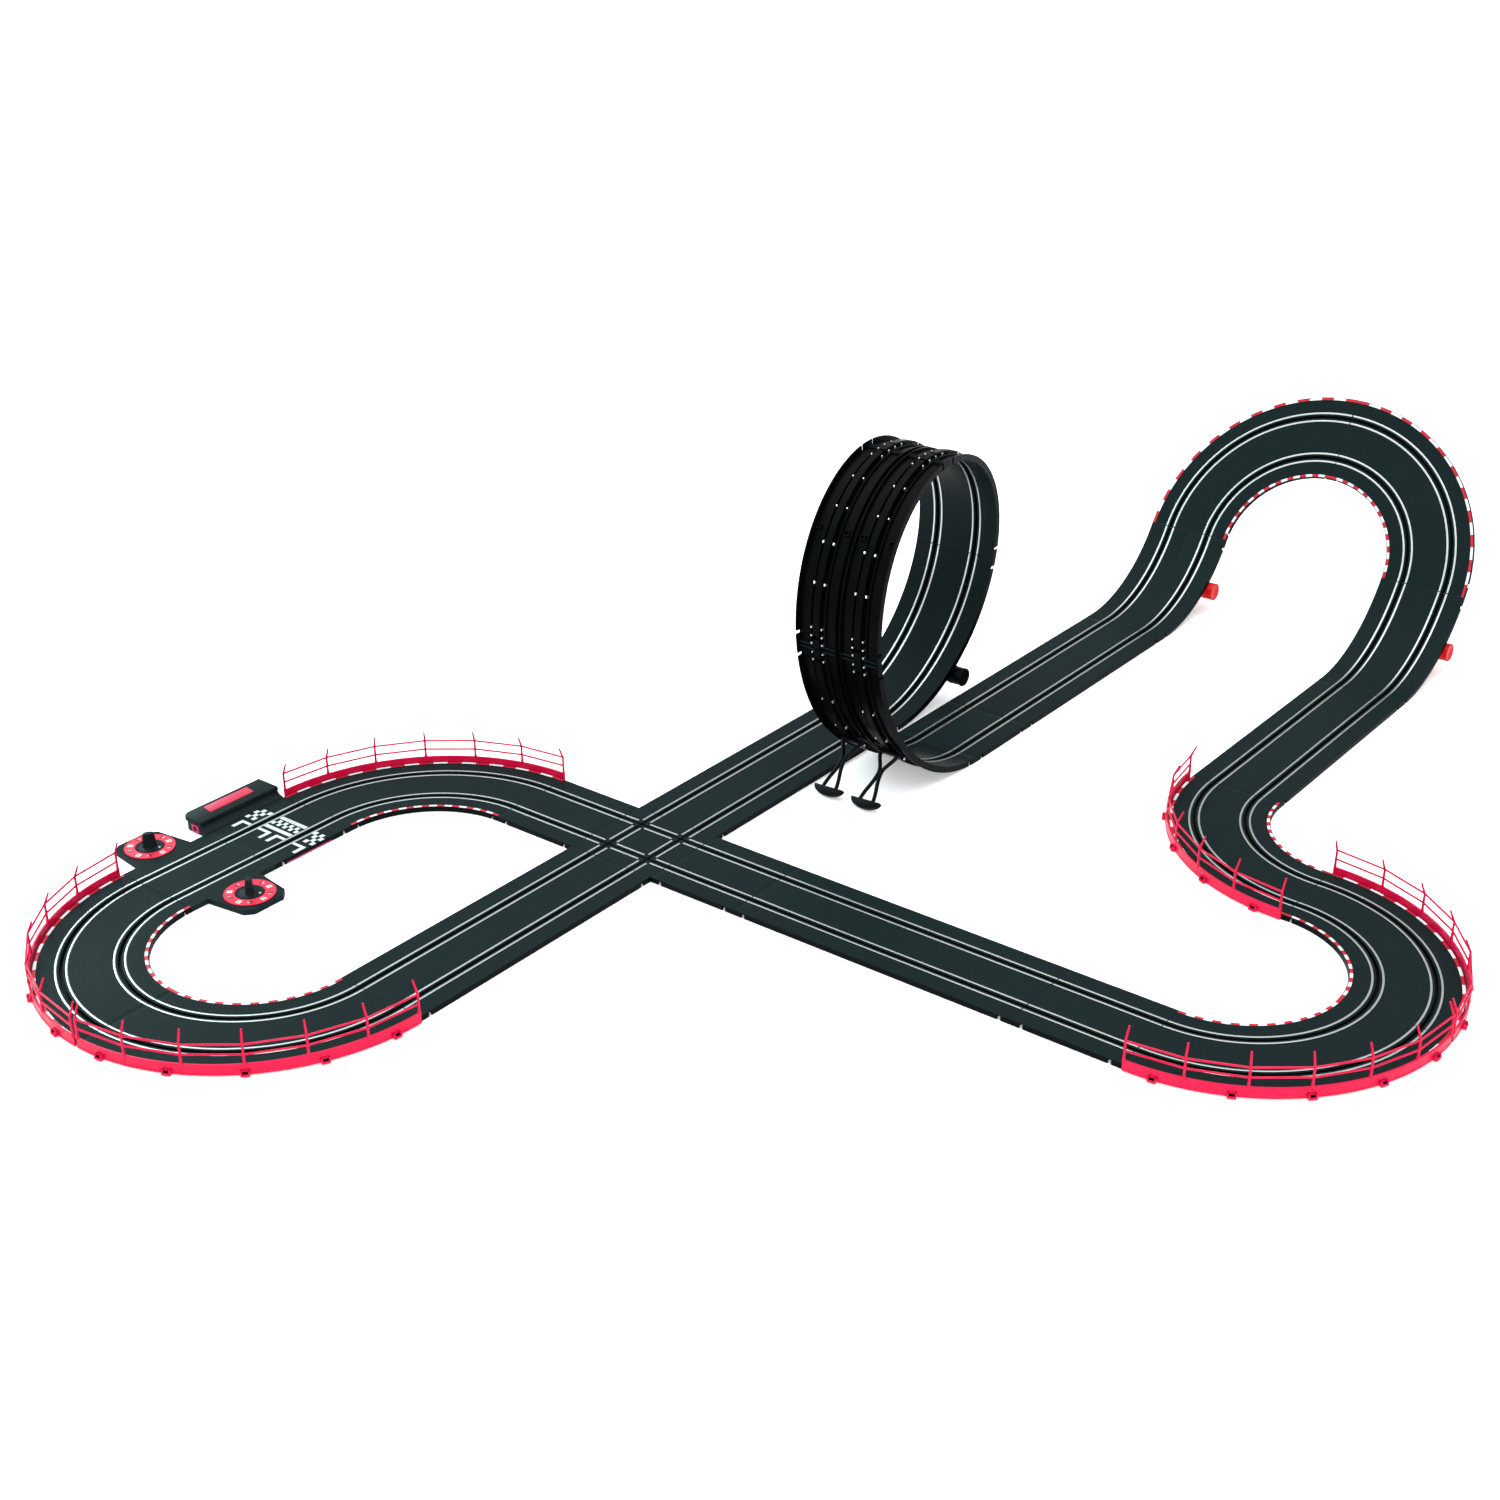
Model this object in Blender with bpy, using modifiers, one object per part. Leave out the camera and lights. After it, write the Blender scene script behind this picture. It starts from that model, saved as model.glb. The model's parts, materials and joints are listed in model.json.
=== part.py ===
"""Slot car track set: a closed two-lane circuit with a crossing, a loop and a banked curve.

Metres, +Z up. The origin is the middle of the crossing, on the floor. The lanes through the
crossing run along X and Y. Every track piece is a moulded deck whose top lies DECK_HEIGHT
above the floor.
"""
import math

import bmesh
import bpy
from mathutils import Matrix, Vector

# Driving dimensions of the track system
THIRD = 0.114
STRAIGHT = 3 * THIRD
CURVE_RADIUS = 0.171
LANE_SPACING = 0.057
TRACK_WIDTH = 0.114
DECK_HEIGHT = 0.006
JOINT_GAP = 0.0003
OVERCUT = 0.001

# Deck section
HALF_WIDTH = TRACK_WIDTH / 2
LANE = LANE_SPACING / 2
PLATE = 0.002
SKIRT = 0.002
SLOT_WIDTH = 0.003
SLOT_DEPTH = 0.0042
CHANNEL_WALL = 0.0015
CHANNEL_DEPTH = 0.0054
QUARTER_STEPS = 9

# Loop: its two ends stand side by side, one adapter length apart
LOOP_RADIUS = 0.174
LOOP_SHIFT = 0.123
LOOP_SOFTNESS = 0.67
LOOP_LEAN = 0.0095
LOOP_DEEPER = 0.002
LOOP_TAPER = math.radians(30)
LOOP_X = THIRD / 2 + STRAIGHT
ADAPTER = LOOP_SHIFT

# Banked curve: ramps bend up to a plane that the half circle lies in
BANK_ANGLE = math.radians(56)
RAMP_RADIUS = 0.192
RAMP_FLAT = 0.0085
RAMP_RUN = 0.0028

# Guard rails on the outer edge of a quarter curve
RAIL_CLEARANCE = 0.0012
RAIL_RADIUS = CURVE_RADIUS + HALF_WIDTH + RAIL_CLEARANCE
RAIL_THICKNESS = 0.002
RAIL_TOP = 0.007
RAIL_BOTTOM = -0.0052
RAIL_SPAN = math.radians(88.9)
POST_COUNT = 7
POST_PITCH = math.radians(14.7)
POST_RADIUS = 0.0013
WIRE_HEIGHTS = (0.0168, 0.0278)
WIRE_RADIUS = 0.0011
POST_BEND = 0.0278
POST_TOP = 0.0415
POST_ROOT = 0.004
POST_LEAN = 0.006
CLIP_COUNT = 5
CLIP_PITCH = math.radians(18.3)
CLIP_SIZE = (0.0055, 0.009, 0.0055)

# Lap counter ears, one on each side of their track piece
EAR_CENTRE = 0.083
EAR_END = 0.1135
EAR_LAP = 0.004
EAR_BASE_HALF = 0.035
EAR_SHOULDER_HALF = 0.0285
EAR_TIP_HALF = 0.0195
EAR_SHOULDER = 0.1055
WELL_RADIUS = 0.0235
PASSAGE_HALF = 0.017
PASSAGE_MARGIN = 0.009
WINDOW_HALF = 0.008
WINDOW_REACH = (0.0005, 0.006)
WINDOW_HEIGHTS = (-0.0046, -0.0022)
DIAL_RADII = (0.0158, 0.0278)
DIAL_HEIGHTS = (0.0003, 0.0013)
HUB_RADIUS = 0.0152
HUB_HEIGHTS = (0.0003, 0.0015)
GRIP_HALF_WIDTHS = (0.0075, 0.0062)
GRIP_FLATNESS = 0.6
GRIP_TOP = 0.018
GRIP_FLOAT = 0.0005
GRIP_TURNS = (math.radians(55), math.radians(-37))
SPINDLE_RADIUS = 0.003
SPINDLE_HOLE = 0.0034
SPINDLE_TIP_RADIUS = 0.002
SPINDLE_STEP = -0.0021
SPINDLE_END = -0.0046
WHEEL_RADIUS = 0.011
WHEEL_TEETH = 20
WHEEL_TOOTH = 0.0014
TOOTH_FACE = 0.03
WHEEL_HEIGHTS = (-0.0044, -0.0025)
COVER_TOP = -0.0049
LEVER_PIVOT = 0.046
LEVER_HEIGHTS = (-0.0043, -0.0026)
LEVER_BORE = 0.0014
LEVER_TIP_HALF = 0.0012
LEVER_FLANK = ((0.0016, -0.0035), (0.0028, -0.0015), (0.0028, 0.0015), (0.0018, 0.004))
PAWL_EDGE = 0.0004
FINGER_GAP = 0.0006
PAWL_GAP = 0.001
PIN_RADIUS = 0.0011
PIN_HEIGHTS = (-0.0047, -0.0015)

# Terminal box beside the connecting track
TERMINAL_HALF = 0.0567
TERMINAL_OUTER = 0.0994
TERMINAL_SPLIT = 0.0055
TERMINAL_TOP = 0.011
TERMINAL_CORNER = 0.011
TERMINAL_FLARE = ((0.0, 0.0004), (0.003, 0.0012), (0.0065, 0.0032), (0.0085, 0.0055))
LID_OVERHANG = 0.001
LID_ROUNDING = 0.0012
LABEL_CENTRE = 0.0848
LABEL_HALF = 0.0312
LABEL_SLANT = 0.0012
LABEL_HALF_DEPTH = 0.0077
LABEL_THICKNESS = 0.0005
JACK_CENTRE = 0.077
JACK_HALF = 0.0061
JACK_LENGTH = 0.01
JACK_BOTTOM = -0.0052
SOCKET_RADIUS = 0.0031
SOCKET_DEPTH = 0.005

# Supports
CLAMP_RADIUS = 0.0117
CLAMP_LENGTH = 0.04
SOUTH_CLAMP_REACH = 0.0052
NORTH_CLAMP_REACH = 0.009
LOOP_CLAMP_REACH = 0.012
BANK_CLAMP_SHARE = 0.65
LOOP_CLAMP_ANGLE = math.radians(318.3)
LEG_ANGLE = math.radians(46)
LEG_SIDES = (0.0234, -0.0291)
LEG_FOOT_HALF = 0.022
LEG_FOOT_DEPTH = 0.011
LEG_FOOT_THICKNESS = 0.006
LEG_FLOOR_GAP = 0.002
LEG_FOOT_TURN = math.radians(10)
LEG_ROD = 0.0023
LEG_ROD_STEPS = 10
LEG_ROD_SPREAD = (0.0118, 0.0020, 0.0092)
LEG_WAIST = 0.4
LEG_ROD_LAP = 0.002
LEG_ROD_OFFSET = 0.0006
LEG_PLUG = (0.004, 0.0148, 0.0035)

# Places of the pieces on the floor, which follow from the lengths above
CORE = THIRD / 2
LEFT_X = -(CORE + STRAIGHT)
TOP_Y = 2 * CURVE_RADIUS
STRAIGHT_END_Y = -(CORE + THIRD + STRAIGHT)
RIGHT_Y = STRAIGHT_END_Y - ADAPTER
FAR_X = 3 * CURVE_RADIUS
BANK_Y = RIGHT_Y + 2 * CURVE_RADIUS
RAMP_X = FAR_X + STRAIGHT

MATERIALS = {}


def clear_scene():
    """Remove every object of the starting scene."""
    for obj in list(bpy.data.objects):
        bpy.data.objects.remove(obj, do_unlink=True)


def make_collection(name):
    """A new collection in the scene."""
    collection = bpy.data.collections.new(name)
    bpy.context.scene.collection.children.link(collection)
    return collection


def material(name, colour, roughness, metallic=0.0):
    """A Principled material, made once for each name."""
    if name not in MATERIALS:
        made = bpy.data.materials.new(name)
        made.use_nodes = True
        shader = made.node_tree.nodes["Principled BSDF"]
        shader.inputs["Base Color"].default_value = (*colour, 1.0)
        shader.inputs["Roughness"].default_value = roughness
        shader.inputs["Metallic"].default_value = metallic
        MATERIALS[name] = made
    return MATERIALS[name]


def deck_black():
    return material("deck_black", (0.028, 0.036, 0.037), 0.62)


def box_black():
    return material("box_black", (0.022, 0.026, 0.027), 0.45)


def rail_red():
    return material("rail_red", (0.82, 0.012, 0.03), 0.35)


def jack_red():
    return material("jack_red", (0.45, 0.02, 0.09), 0.4)


def label_red():
    return material("label_red", (0.75, 0.03, 0.06), 0.4)


def add_object(name, mesh, surface, location=(0, 0, 0), rotation=None):
    """Link a mesh as a named part of the set."""
    obj = bpy.data.objects.new(name, mesh)
    if not mesh.materials:
        mesh.materials.append(surface)
    obj.matrix_world = Matrix.Translation(location) @ (rotation or Matrix.Identity(4))
    PARTS.objects.link(obj)
    return obj


def add_cutter(name, mesh):
    """Link a mesh that only shapes another object."""
    obj = bpy.data.objects.new(name, mesh)
    obj.hide_render = True
    obj.display_type = "WIRE"
    CUTTERS.objects.link(obj)
    return obj


def boolean(obj, cutter, operation, use_self=False):
    """Keep a live Boolean on the object."""
    modifier = obj.modifiers.new(operation.lower(), "BOOLEAN")
    modifier.operation = operation
    modifier.object = cutter
    modifier.solver = "EXACT"
    modifier.use_self = use_self


def finished_mesh(name, obj):
    """The evaluated mesh of an object, which is then removed."""
    graph = bpy.context.evaluated_depsgraph_get()
    mesh = bpy.data.meshes.new_from_object(obj.evaluated_get(graph), depsgraph=graph)
    mesh.name = name
    mesh.transform(obj.matrix_world)
    work = bmesh.new()
    work.from_mesh(mesh)
    bmesh.ops.remove_doubles(work, verts=work.verts, dist=0.00001)
    work.to_mesh(mesh)
    work.free()
    bpy.data.objects.remove(obj, do_unlink=True)
    return mesh


def box_into(work, low, high):
    """Add a box between two corners to a bmesh."""
    size = [b - a for a, b in zip(low, high)]
    middle = [(a + b) / 2 for a, b in zip(low, high)]
    place = Matrix.Translation(middle) @ Matrix.Diagonal((*size, 1.0))
    bmesh.ops.create_cube(work, size=1.0, matrix=place)


def cylinder_into(work, centre, radius, low, high, sides=24, axis="Z"):
    """Add a closed cylinder along Z or Y to a bmesh."""
    turn = Matrix.Identity(4) if axis == "Z" else Matrix.Rotation(math.pi / 2, 4, "X")
    middle = Vector(centre)
    middle["XYZ".index(axis)] = (low + high) / 2
    bmesh.ops.create_cone(work, cap_ends=True, segments=sides, radius1=radius, radius2=radius,
                          depth=high - low, matrix=Matrix.Translation(middle) @ turn)


def face_outwards(work):
    """Make the faces agree and point out of the solid."""
    bmesh.ops.recalc_face_normals(work, faces=work.faces)
    if work.calc_volume(signed=True) < 0:
        bmesh.ops.reverse_faces(work, faces=work.faces)


def mesh_from(name, work, smooth=False):
    """Turn a bmesh into a mesh with its faces pointing out."""
    face_outwards(work)
    mesh = bpy.data.meshes.new(name)
    work.to_mesh(mesh)
    work.free()
    if smooth:
        mesh.shade_smooth()
        mesh.set_sharp_from_angle(angle=math.radians(35))
    return mesh


def flat_outline(name, points, low, high):
    """A filled flat outline between two heights, as a mesh."""
    curve = bpy.data.curves.new(name, "CURVE")
    curve.dimensions = "2D"
    curve.fill_mode = "BOTH"
    curve.extrude = (high - low) / 2
    curve.resolution_u = 1
    spline = curve.splines.new("POLY")
    spline.points.add(len(points) - 1)
    for point, (x, y) in zip(spline.points, points):
        point.co = (x, y, 0, 1)
    spline.use_cyclic_u = True
    holder = add_cutter(name, curve)
    holder.location.z = (low + high) / 2
    bpy.context.view_layer.update()
    return finished_mesh(name, holder)


def tube(name, points, radius, resolution=0):
    """A bar along straight runs between points, with closed ends, as a mesh."""
    curve = bpy.data.curves.new(name, "CURVE")
    curve.dimensions = "3D"
    curve.bevel_depth = radius
    curve.bevel_resolution = resolution
    curve.use_fill_caps = True
    curve.resolution_u = 1
    spline = curve.splines.new("POLY")
    spline.points.add(len(points) - 1)
    for point, place in zip(spline.points, points):
        point.co = (*place, 1)
    holder = add_cutter(name, curve)
    bpy.context.view_layer.update()
    return finished_mesh(name, holder)


def turned(name, profile, steps=24):
    """A closed profile of radius and height, turned about Z, as a mesh."""
    closed = profile[0][0] > 0 and profile[-1][0] > 0
    mesh = bpy.data.meshes.new(name)
    edges = [(i, i + 1) for i in range(len(profile) - 1)]
    if closed:
        edges.append((len(profile) - 1, 0))
    mesh.from_pydata([(r, 0, z) for r, z in profile], edges, [])
    holder = add_cutter(name, mesh)
    screw = holder.modifiers.new("turn", "SCREW")
    screw.steps = steps
    screw.render_steps = steps
    screw.use_merge_vertices = True
    screw.merge_threshold = 0.00001
    bpy.context.view_layer.update()
    made = finished_mesh(name, holder)
    work = bmesh.new()
    work.from_mesh(made)
    face_outwards(work)
    work.to_mesh(made)
    work.free()
    made.shade_smooth()
    made.set_sharp_from_angle(angle=math.radians(35))
    return made


def joined(name, meshes):
    """Several meshes as one, still separate bodies."""
    work = bmesh.new()
    for mesh in meshes:
        work.from_mesh(mesh)
    return mesh_from(name, work)


# ---------------------------------------------------------------- deck pieces

def deck_section():
    """Outline across a track piece: lateral place and height under the top."""
    points = [(-HALF_WIDTH, 0)]
    for lane in (-LANE, LANE):
        left, right = lane - SLOT_WIDTH / 2, lane + SLOT_WIDTH / 2
        points += [(left, 0), (left, -SLOT_DEPTH), (right, -SLOT_DEPTH), (right, 0)]
    points += [(HALF_WIDTH, 0), (HALF_WIDTH, -DECK_HEIGHT)]
    points += [(HALF_WIDTH - SKIRT, -DECK_HEIGHT), (HALF_WIDTH - SKIRT, -PLATE)]
    reach = SLOT_WIDTH / 2 + CHANNEL_WALL
    for lane in (LANE, -LANE):
        points += [(lane + reach, -PLATE), (lane + reach, -CHANNEL_DEPTH)]
        points += [(lane - reach, -CHANNEL_DEPTH), (lane - reach, -PLATE)]
    points += [(SKIRT - HALF_WIDTH, -PLATE), (SKIRT - HALF_WIDTH, -DECK_HEIGHT)]
    points.append((-HALF_WIDTH, -DECK_HEIGHT))
    return points


def swept_deck(name, length, steps, bend=None):
    """The deck section drawn out along X, then carried onto a bent path."""
    work = bmesh.new()
    cap = work.faces.new([work.verts.new((0, u, v)) for u, v in deck_section()])
    for step in range(steps):
        last_cap = cap
        grown = bmesh.ops.extrude_face_region(work, geom=[cap], use_keep_orig=True)["geom"]
        moved = [item for item in grown if isinstance(item, bmesh.types.BMVert)]
        cap = next(item for item in grown if isinstance(item, bmesh.types.BMFace))
        bmesh.ops.translate(work, verts=moved, vec=(length / steps, 0, 0))
        if step > 0:
            work.faces.remove(last_cap)
    if bend:
        for vert in work.verts:
            vert.co = bend(*vert.co)
    return mesh_from(name, work)


def straight_mesh(name, length):
    """A straight, centred lengthwise on its own origin."""
    half = length / 2 - JOINT_GAP / 2
    return swept_deck(name, 2 * half, 1, lambda s, u, v: (s - half, u, v))


def curve_mesh(name):
    """A flat quarter curve about its own centre, from +X round to +Y."""
    gap = JOINT_GAP / 2 / CURVE_RADIUS
    span = math.pi / 2 - 2 * gap

    def bend(s, u, v):
        angle = gap + s
        radius = CURVE_RADIUS - u
        return radius * math.cos(angle), radius * math.sin(angle), v

    return swept_deck(name, span, QUARTER_STEPS, bend)


def loop_side(turn):
    """Sideways place along the loop: a blend of a steady and a soft shift."""
    soft = turn * turn * (3 - 2 * turn)
    return LOOP_SHIFT * ((1 - LOOP_SOFTNESS) * turn + LOOP_SOFTNESS * soft)


def loop_point(angle, rise):
    """Place and height on the loop from its low point; the loop leans a little towards its top."""
    radius = LOOP_RADIUS - rise
    x = LOOP_LEAN * math.sin(angle / 2) ** 2 - radius * math.sin(angle)
    return x, LOOP_RADIUS - radius * math.cos(angle)


def loop_quarter_mesh(name, index):
    """One quarter of the loop, whose low point is its own origin. Its skirts deepen off the floor."""
    gap = JOINT_GAP / 2 / LOOP_RADIUS
    start = index * math.pi / 2 + gap
    span = math.pi / 2 - 2 * gap

    def bend(s, u, v):
        angle = start + s
        if v < -PLATE:
            share = min(1.0, min(angle, 2 * math.pi - angle) / LOOP_TAPER)
            v += LOOP_DEEPER * share * (v + PLATE) / (DECK_HEIGHT - PLATE)
        x, z = loop_point(angle, v)
        return x, loop_side(angle / (2 * math.pi)) - LOOP_SHIFT - u, z

    return swept_deck(name, span, QUARTER_STEPS, bend)


def ramp_point(along, rise):
    """Place and height on the centre of the ramp, from its flat end."""
    arc_end = RAMP_FLAT + RAMP_RADIUS * BANK_ANGLE
    if along < RAMP_FLAT:
        angle, x, z = 0.0, along, 0.0
    elif along < arc_end:
        angle = (along - RAMP_FLAT) / RAMP_RADIUS
        x = RAMP_FLAT + RAMP_RADIUS * math.sin(angle)
        z = RAMP_RADIUS * (1 - math.cos(angle))
    else:
        angle, rest = BANK_ANGLE, along - arc_end
        x = RAMP_FLAT + RAMP_RADIUS * math.sin(angle) + rest * math.cos(angle)
        z = RAMP_RADIUS * (1 - math.cos(angle)) + rest * math.sin(angle)
    return x - rise * math.sin(angle), z + rise * math.cos(angle)


RAMP_LENGTH = RAMP_FLAT + RAMP_RADIUS * BANK_ANGLE + RAMP_RUN


def ramp_mesh(name):
    """The ramp from the flat up to the banked plane, rising along +X."""
    gap = JOINT_GAP / 2

    def bend(s, u, v):
        x, z = ramp_point(s + gap, v)
        return x, u, z

    return swept_deck(name, RAMP_LENGTH - 2 * gap, QUARTER_STEPS, bend)


def add_flat_deck():
    """All pieces that lie on the floor."""
    full = straight_mesh("straight_full", STRAIGHT)
    third = straight_mesh("straight_third", THIRD)
    adapter = straight_mesh("straight_adapter", ADAPTER)
    quarter = curve_mesh("curve_quarter")
    along_y = math.pi / 2
    middle = CORE + STRAIGHT / 2
    straights = (
        ("west_straight", full, (-middle, 0), 0),
        ("east_straight", full, (middle, 0), 0),
        ("south_straight", full, (0, STRAIGHT_END_Y + STRAIGHT / 2), along_y),
        ("far_straight", full, (FAR_X + STRAIGHT / 2, BANK_Y - CURVE_RADIUS), 0),
        ("return_straight", full, (FAR_X + STRAIGHT / 2, BANK_Y + CURVE_RADIUS), 0),
        ("north_third_straight", third, (0, CORE + THIRD / 2), along_y),
        ("south_third_straight", third, (0, -CORE - THIRD / 2), along_y),
        ("loop_lead_in_straight", third, (LOOP_X + THIRD / 2, -LOOP_SHIFT), 0),
        ("adapter_straight", adapter, (0, RIGHT_Y + ADAPTER / 2), along_y),
        ("connecting_track", third, (LEFT_X + 1.5 * THIRD, TOP_Y), 0),
    )
    for name, mesh, (x, y), turn in straights:
        add_object(name, mesh, deck_black(), (x, y, DECK_HEIGHT), Matrix.Rotation(turn, 4, "Z"))
    for name, (x, y), quarters in curve_places():
        turn = Matrix.Rotation(quarters * math.pi / 2, 4, "Z")
        add_object(name, quarter, deck_black(), (x, y, DECK_HEIGHT), turn)


def curve_places():
    """Name, centre and number of quarter turns of every flat curve."""
    left_centre = (LEFT_X, CURVE_RADIUS)
    right_centre = (CURVE_RADIUS, RIGHT_Y)
    return (
        ("top_curve", (-CURVE_RADIUS, CURVE_RADIUS), 0),
        ("hairpin_curve_upper", left_centre, 1),
        ("hairpin_curve_lower", left_centre, 2),
        ("right_curve_lower", right_centre, 2),
        ("right_curve_upper", right_centre, 3),
        ("s_curve", (FAR_X, RIGHT_Y), 1),
    )


def add_crossing():
    """The crossing block: four slots from above, and pockets from below."""
    half = CORE - JOINT_GAP / 2
    work = bmesh.new()
    box_into(work, (-half, -half, 0), (half, half, DECK_HEIGHT))
    block = add_object("crossing", mesh_from("crossing", work), deck_black())
    floor = DECK_HEIGHT - SLOT_DEPTH
    work = bmesh.new()
    for lane in (-LANE, LANE):
        low, high = lane - SLOT_WIDTH / 2, lane + SLOT_WIDTH / 2
        box_into(work, (-THIRD, low, floor), (THIRD, high, 2 * DECK_HEIGHT))
    boolean(block, add_cutter("crossing_slots_x", mesh_from("crossing_slots_x", work)), "DIFFERENCE")
    work = bmesh.new()
    for lane in (-LANE, LANE):
        low, high = lane - SLOT_WIDTH / 2, lane + SLOT_WIDTH / 2
        box_into(work, (low, -THIRD, floor), (high, THIRD, 2 * DECK_HEIGHT))
    boolean(block, add_cutter("crossing_slots_y", mesh_from("crossing_slots_y", work)), "DIFFERENCE")
    wall = SLOT_WIDTH / 2 + CHANNEL_WALL
    outer = (LANE + wall, half - SKIRT)
    inner = (wall - LANE, LANE - wall)
    spans = ((-outer[1], -outer[0]), inner, outer)
    work = bmesh.new()
    for i, (x0, x1) in enumerate(spans):
        for j, (y0, y1) in enumerate(spans):
            if (i, j) != (1, 1):
                box_into(work, (x0, y0, -DECK_HEIGHT), (x1, y1, DECK_HEIGHT - PLATE))
    boolean(block, add_cutter("crossing_pockets", mesh_from("crossing_pockets", work)), "DIFFERENCE")


def add_loop():
    """Four quarter pieces, side-shifted by one adapter length in all."""
    for index, name in enumerate(("loop_entry", "loop_rise", "loop_fall", "loop_exit")):
        mesh = loop_quarter_mesh(name, index)
        add_object(name, mesh, box_black(), (LOOP_X, 0, DECK_HEIGHT))


def bank_start():
    """Where the ramps meet the banked plane."""
    x, z = ramp_point(RAMP_LENGTH, 0.0)
    return RAMP_X + x, DECK_HEIGHT + z


def add_bank():
    """Two ramps and two quarter curves in the tilted plane."""
    ramp = ramp_mesh("bank_ramp")
    for name, side in (("bank_ramp_south", -1), ("bank_ramp_north", 1)):
        place = (RAMP_X, BANK_Y + side * CURVE_RADIUS, DECK_HEIGHT)
        add_object(name, ramp, deck_black(), place)
    quarter = curve_mesh("bank_quarter")
    x, z = bank_start()
    tilt = Matrix.Rotation(-BANK_ANGLE, 4, "Y")
    for name, quarters in (("bank_curve_south", 3), ("bank_curve_north", 0)):
        turn = Matrix.Rotation(quarters * math.pi / 2, 4, "Z")
        add_object(name, quarter, deck_black(), (x, BANK_Y, z), tilt @ turn)


# ---------------------------------------------------------------- guard rails

def polar(radius, angle, height):
    """A point about the curve's centre."""
    return Vector((radius * math.cos(angle), radius * math.sin(angle), height))


def rail_arc_outline(inner, outer, span, steps):
    """A flat ring sector about the diagonal of the first quarter."""
    start = math.pi / 4 - span / 2
    angles = [start + span * i / steps for i in range(steps + 1)]
    points = [(inner * math.cos(a), inner * math.sin(a)) for a in angles]
    points += [(outer * math.cos(a), outer * math.sin(a)) for a in reversed(angles)]
    return points


def guard_rail_mesh():
    """Base wall, clip feet, posts with bent tips and two wires, united."""
    outer = RAIL_RADIUS + RAIL_THICKNESS
    outline = rail_arc_outline(RAIL_RADIUS, outer, RAIL_SPAN, QUARTER_STEPS)
    wall = add_cutter("rail_wall", flat_outline("rail_wall", outline, RAIL_BOTTOM, RAIL_TOP))
    middle = RAIL_RADIUS + RAIL_THICKNESS / 2
    post_angles = [math.pi / 4 + (i - (POST_COUNT - 1) / 2) * POST_PITCH for i in range(POST_COUNT)]
    posts = []
    for angle in post_angles:
        points = (polar(middle, angle, RAIL_TOP - POST_ROOT), polar(middle, angle, POST_BEND),
                  polar(middle - POST_LEAN, angle, POST_TOP))
        posts.append(tube("rail_post", points, POST_RADIUS))
    boolean(wall, add_cutter("rail_posts", joined("rail_posts", posts)), "UNION")
    for number, height in enumerate(WIRE_HEIGHTS):
        points = [polar(middle, angle, height) for angle in post_angles]
        wire = tube("rail_wire", points, WIRE_RADIUS)
        boolean(wall, add_cutter("rail_wire_%d" % number, wire), "UNION")
    work = bmesh.new()
    depth, width, height = CLIP_SIZE
    for i in range(CLIP_COUNT):
        angle = math.pi / 4 + (i - (CLIP_COUNT - 1) / 2) * CLIP_PITCH
        low = Vector((outer - OVERCUT, -width / 2, RAIL_BOTTOM))
        before = set(work.verts)
        box_into(work, low, low + Vector((depth, width, height)))
        fresh = [vert for vert in work.verts if vert not in before]
        bmesh.ops.rotate(work, verts=fresh, cent=(0, 0, 0), matrix=Matrix.Rotation(angle, 3, "Z"))
    boolean(wall, add_cutter("rail_clips", mesh_from("rail_clips", work)), "UNION")
    bpy.context.view_layer.update()
    return finished_mesh("guard_rail", wall)


def add_guard_rails():
    """One rail on the outer edge of every flat curve."""
    mesh = guard_rail_mesh()
    for name, (x, y), quarters in curve_places():
        turn = Matrix.Rotation(quarters * math.pi / 2, 4, "Z")
        rail = name.replace("curve", "guard_rail")
        add_object(rail, mesh, rail_red(), (x, y, DECK_HEIGHT), turn)


# ---------------------------------------------------------------- lap counter

COUNTER_X = LEFT_X + THIRD / 2


def ear_outline(side):
    """The ear's outline, from inside the deck to its narrow end."""
    half = ((EAR_BASE_HALF, HALF_WIDTH - EAR_LAP), (EAR_BASE_HALF, HALF_WIDTH + OVERCUT),
            (EAR_SHOULDER_HALF, EAR_SHOULDER), (EAR_TIP_HALF, EAR_END))
    points = [(x, side * y) for x, y in half]
    return points + [(-x, y) for x, y in reversed(points)]


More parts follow.
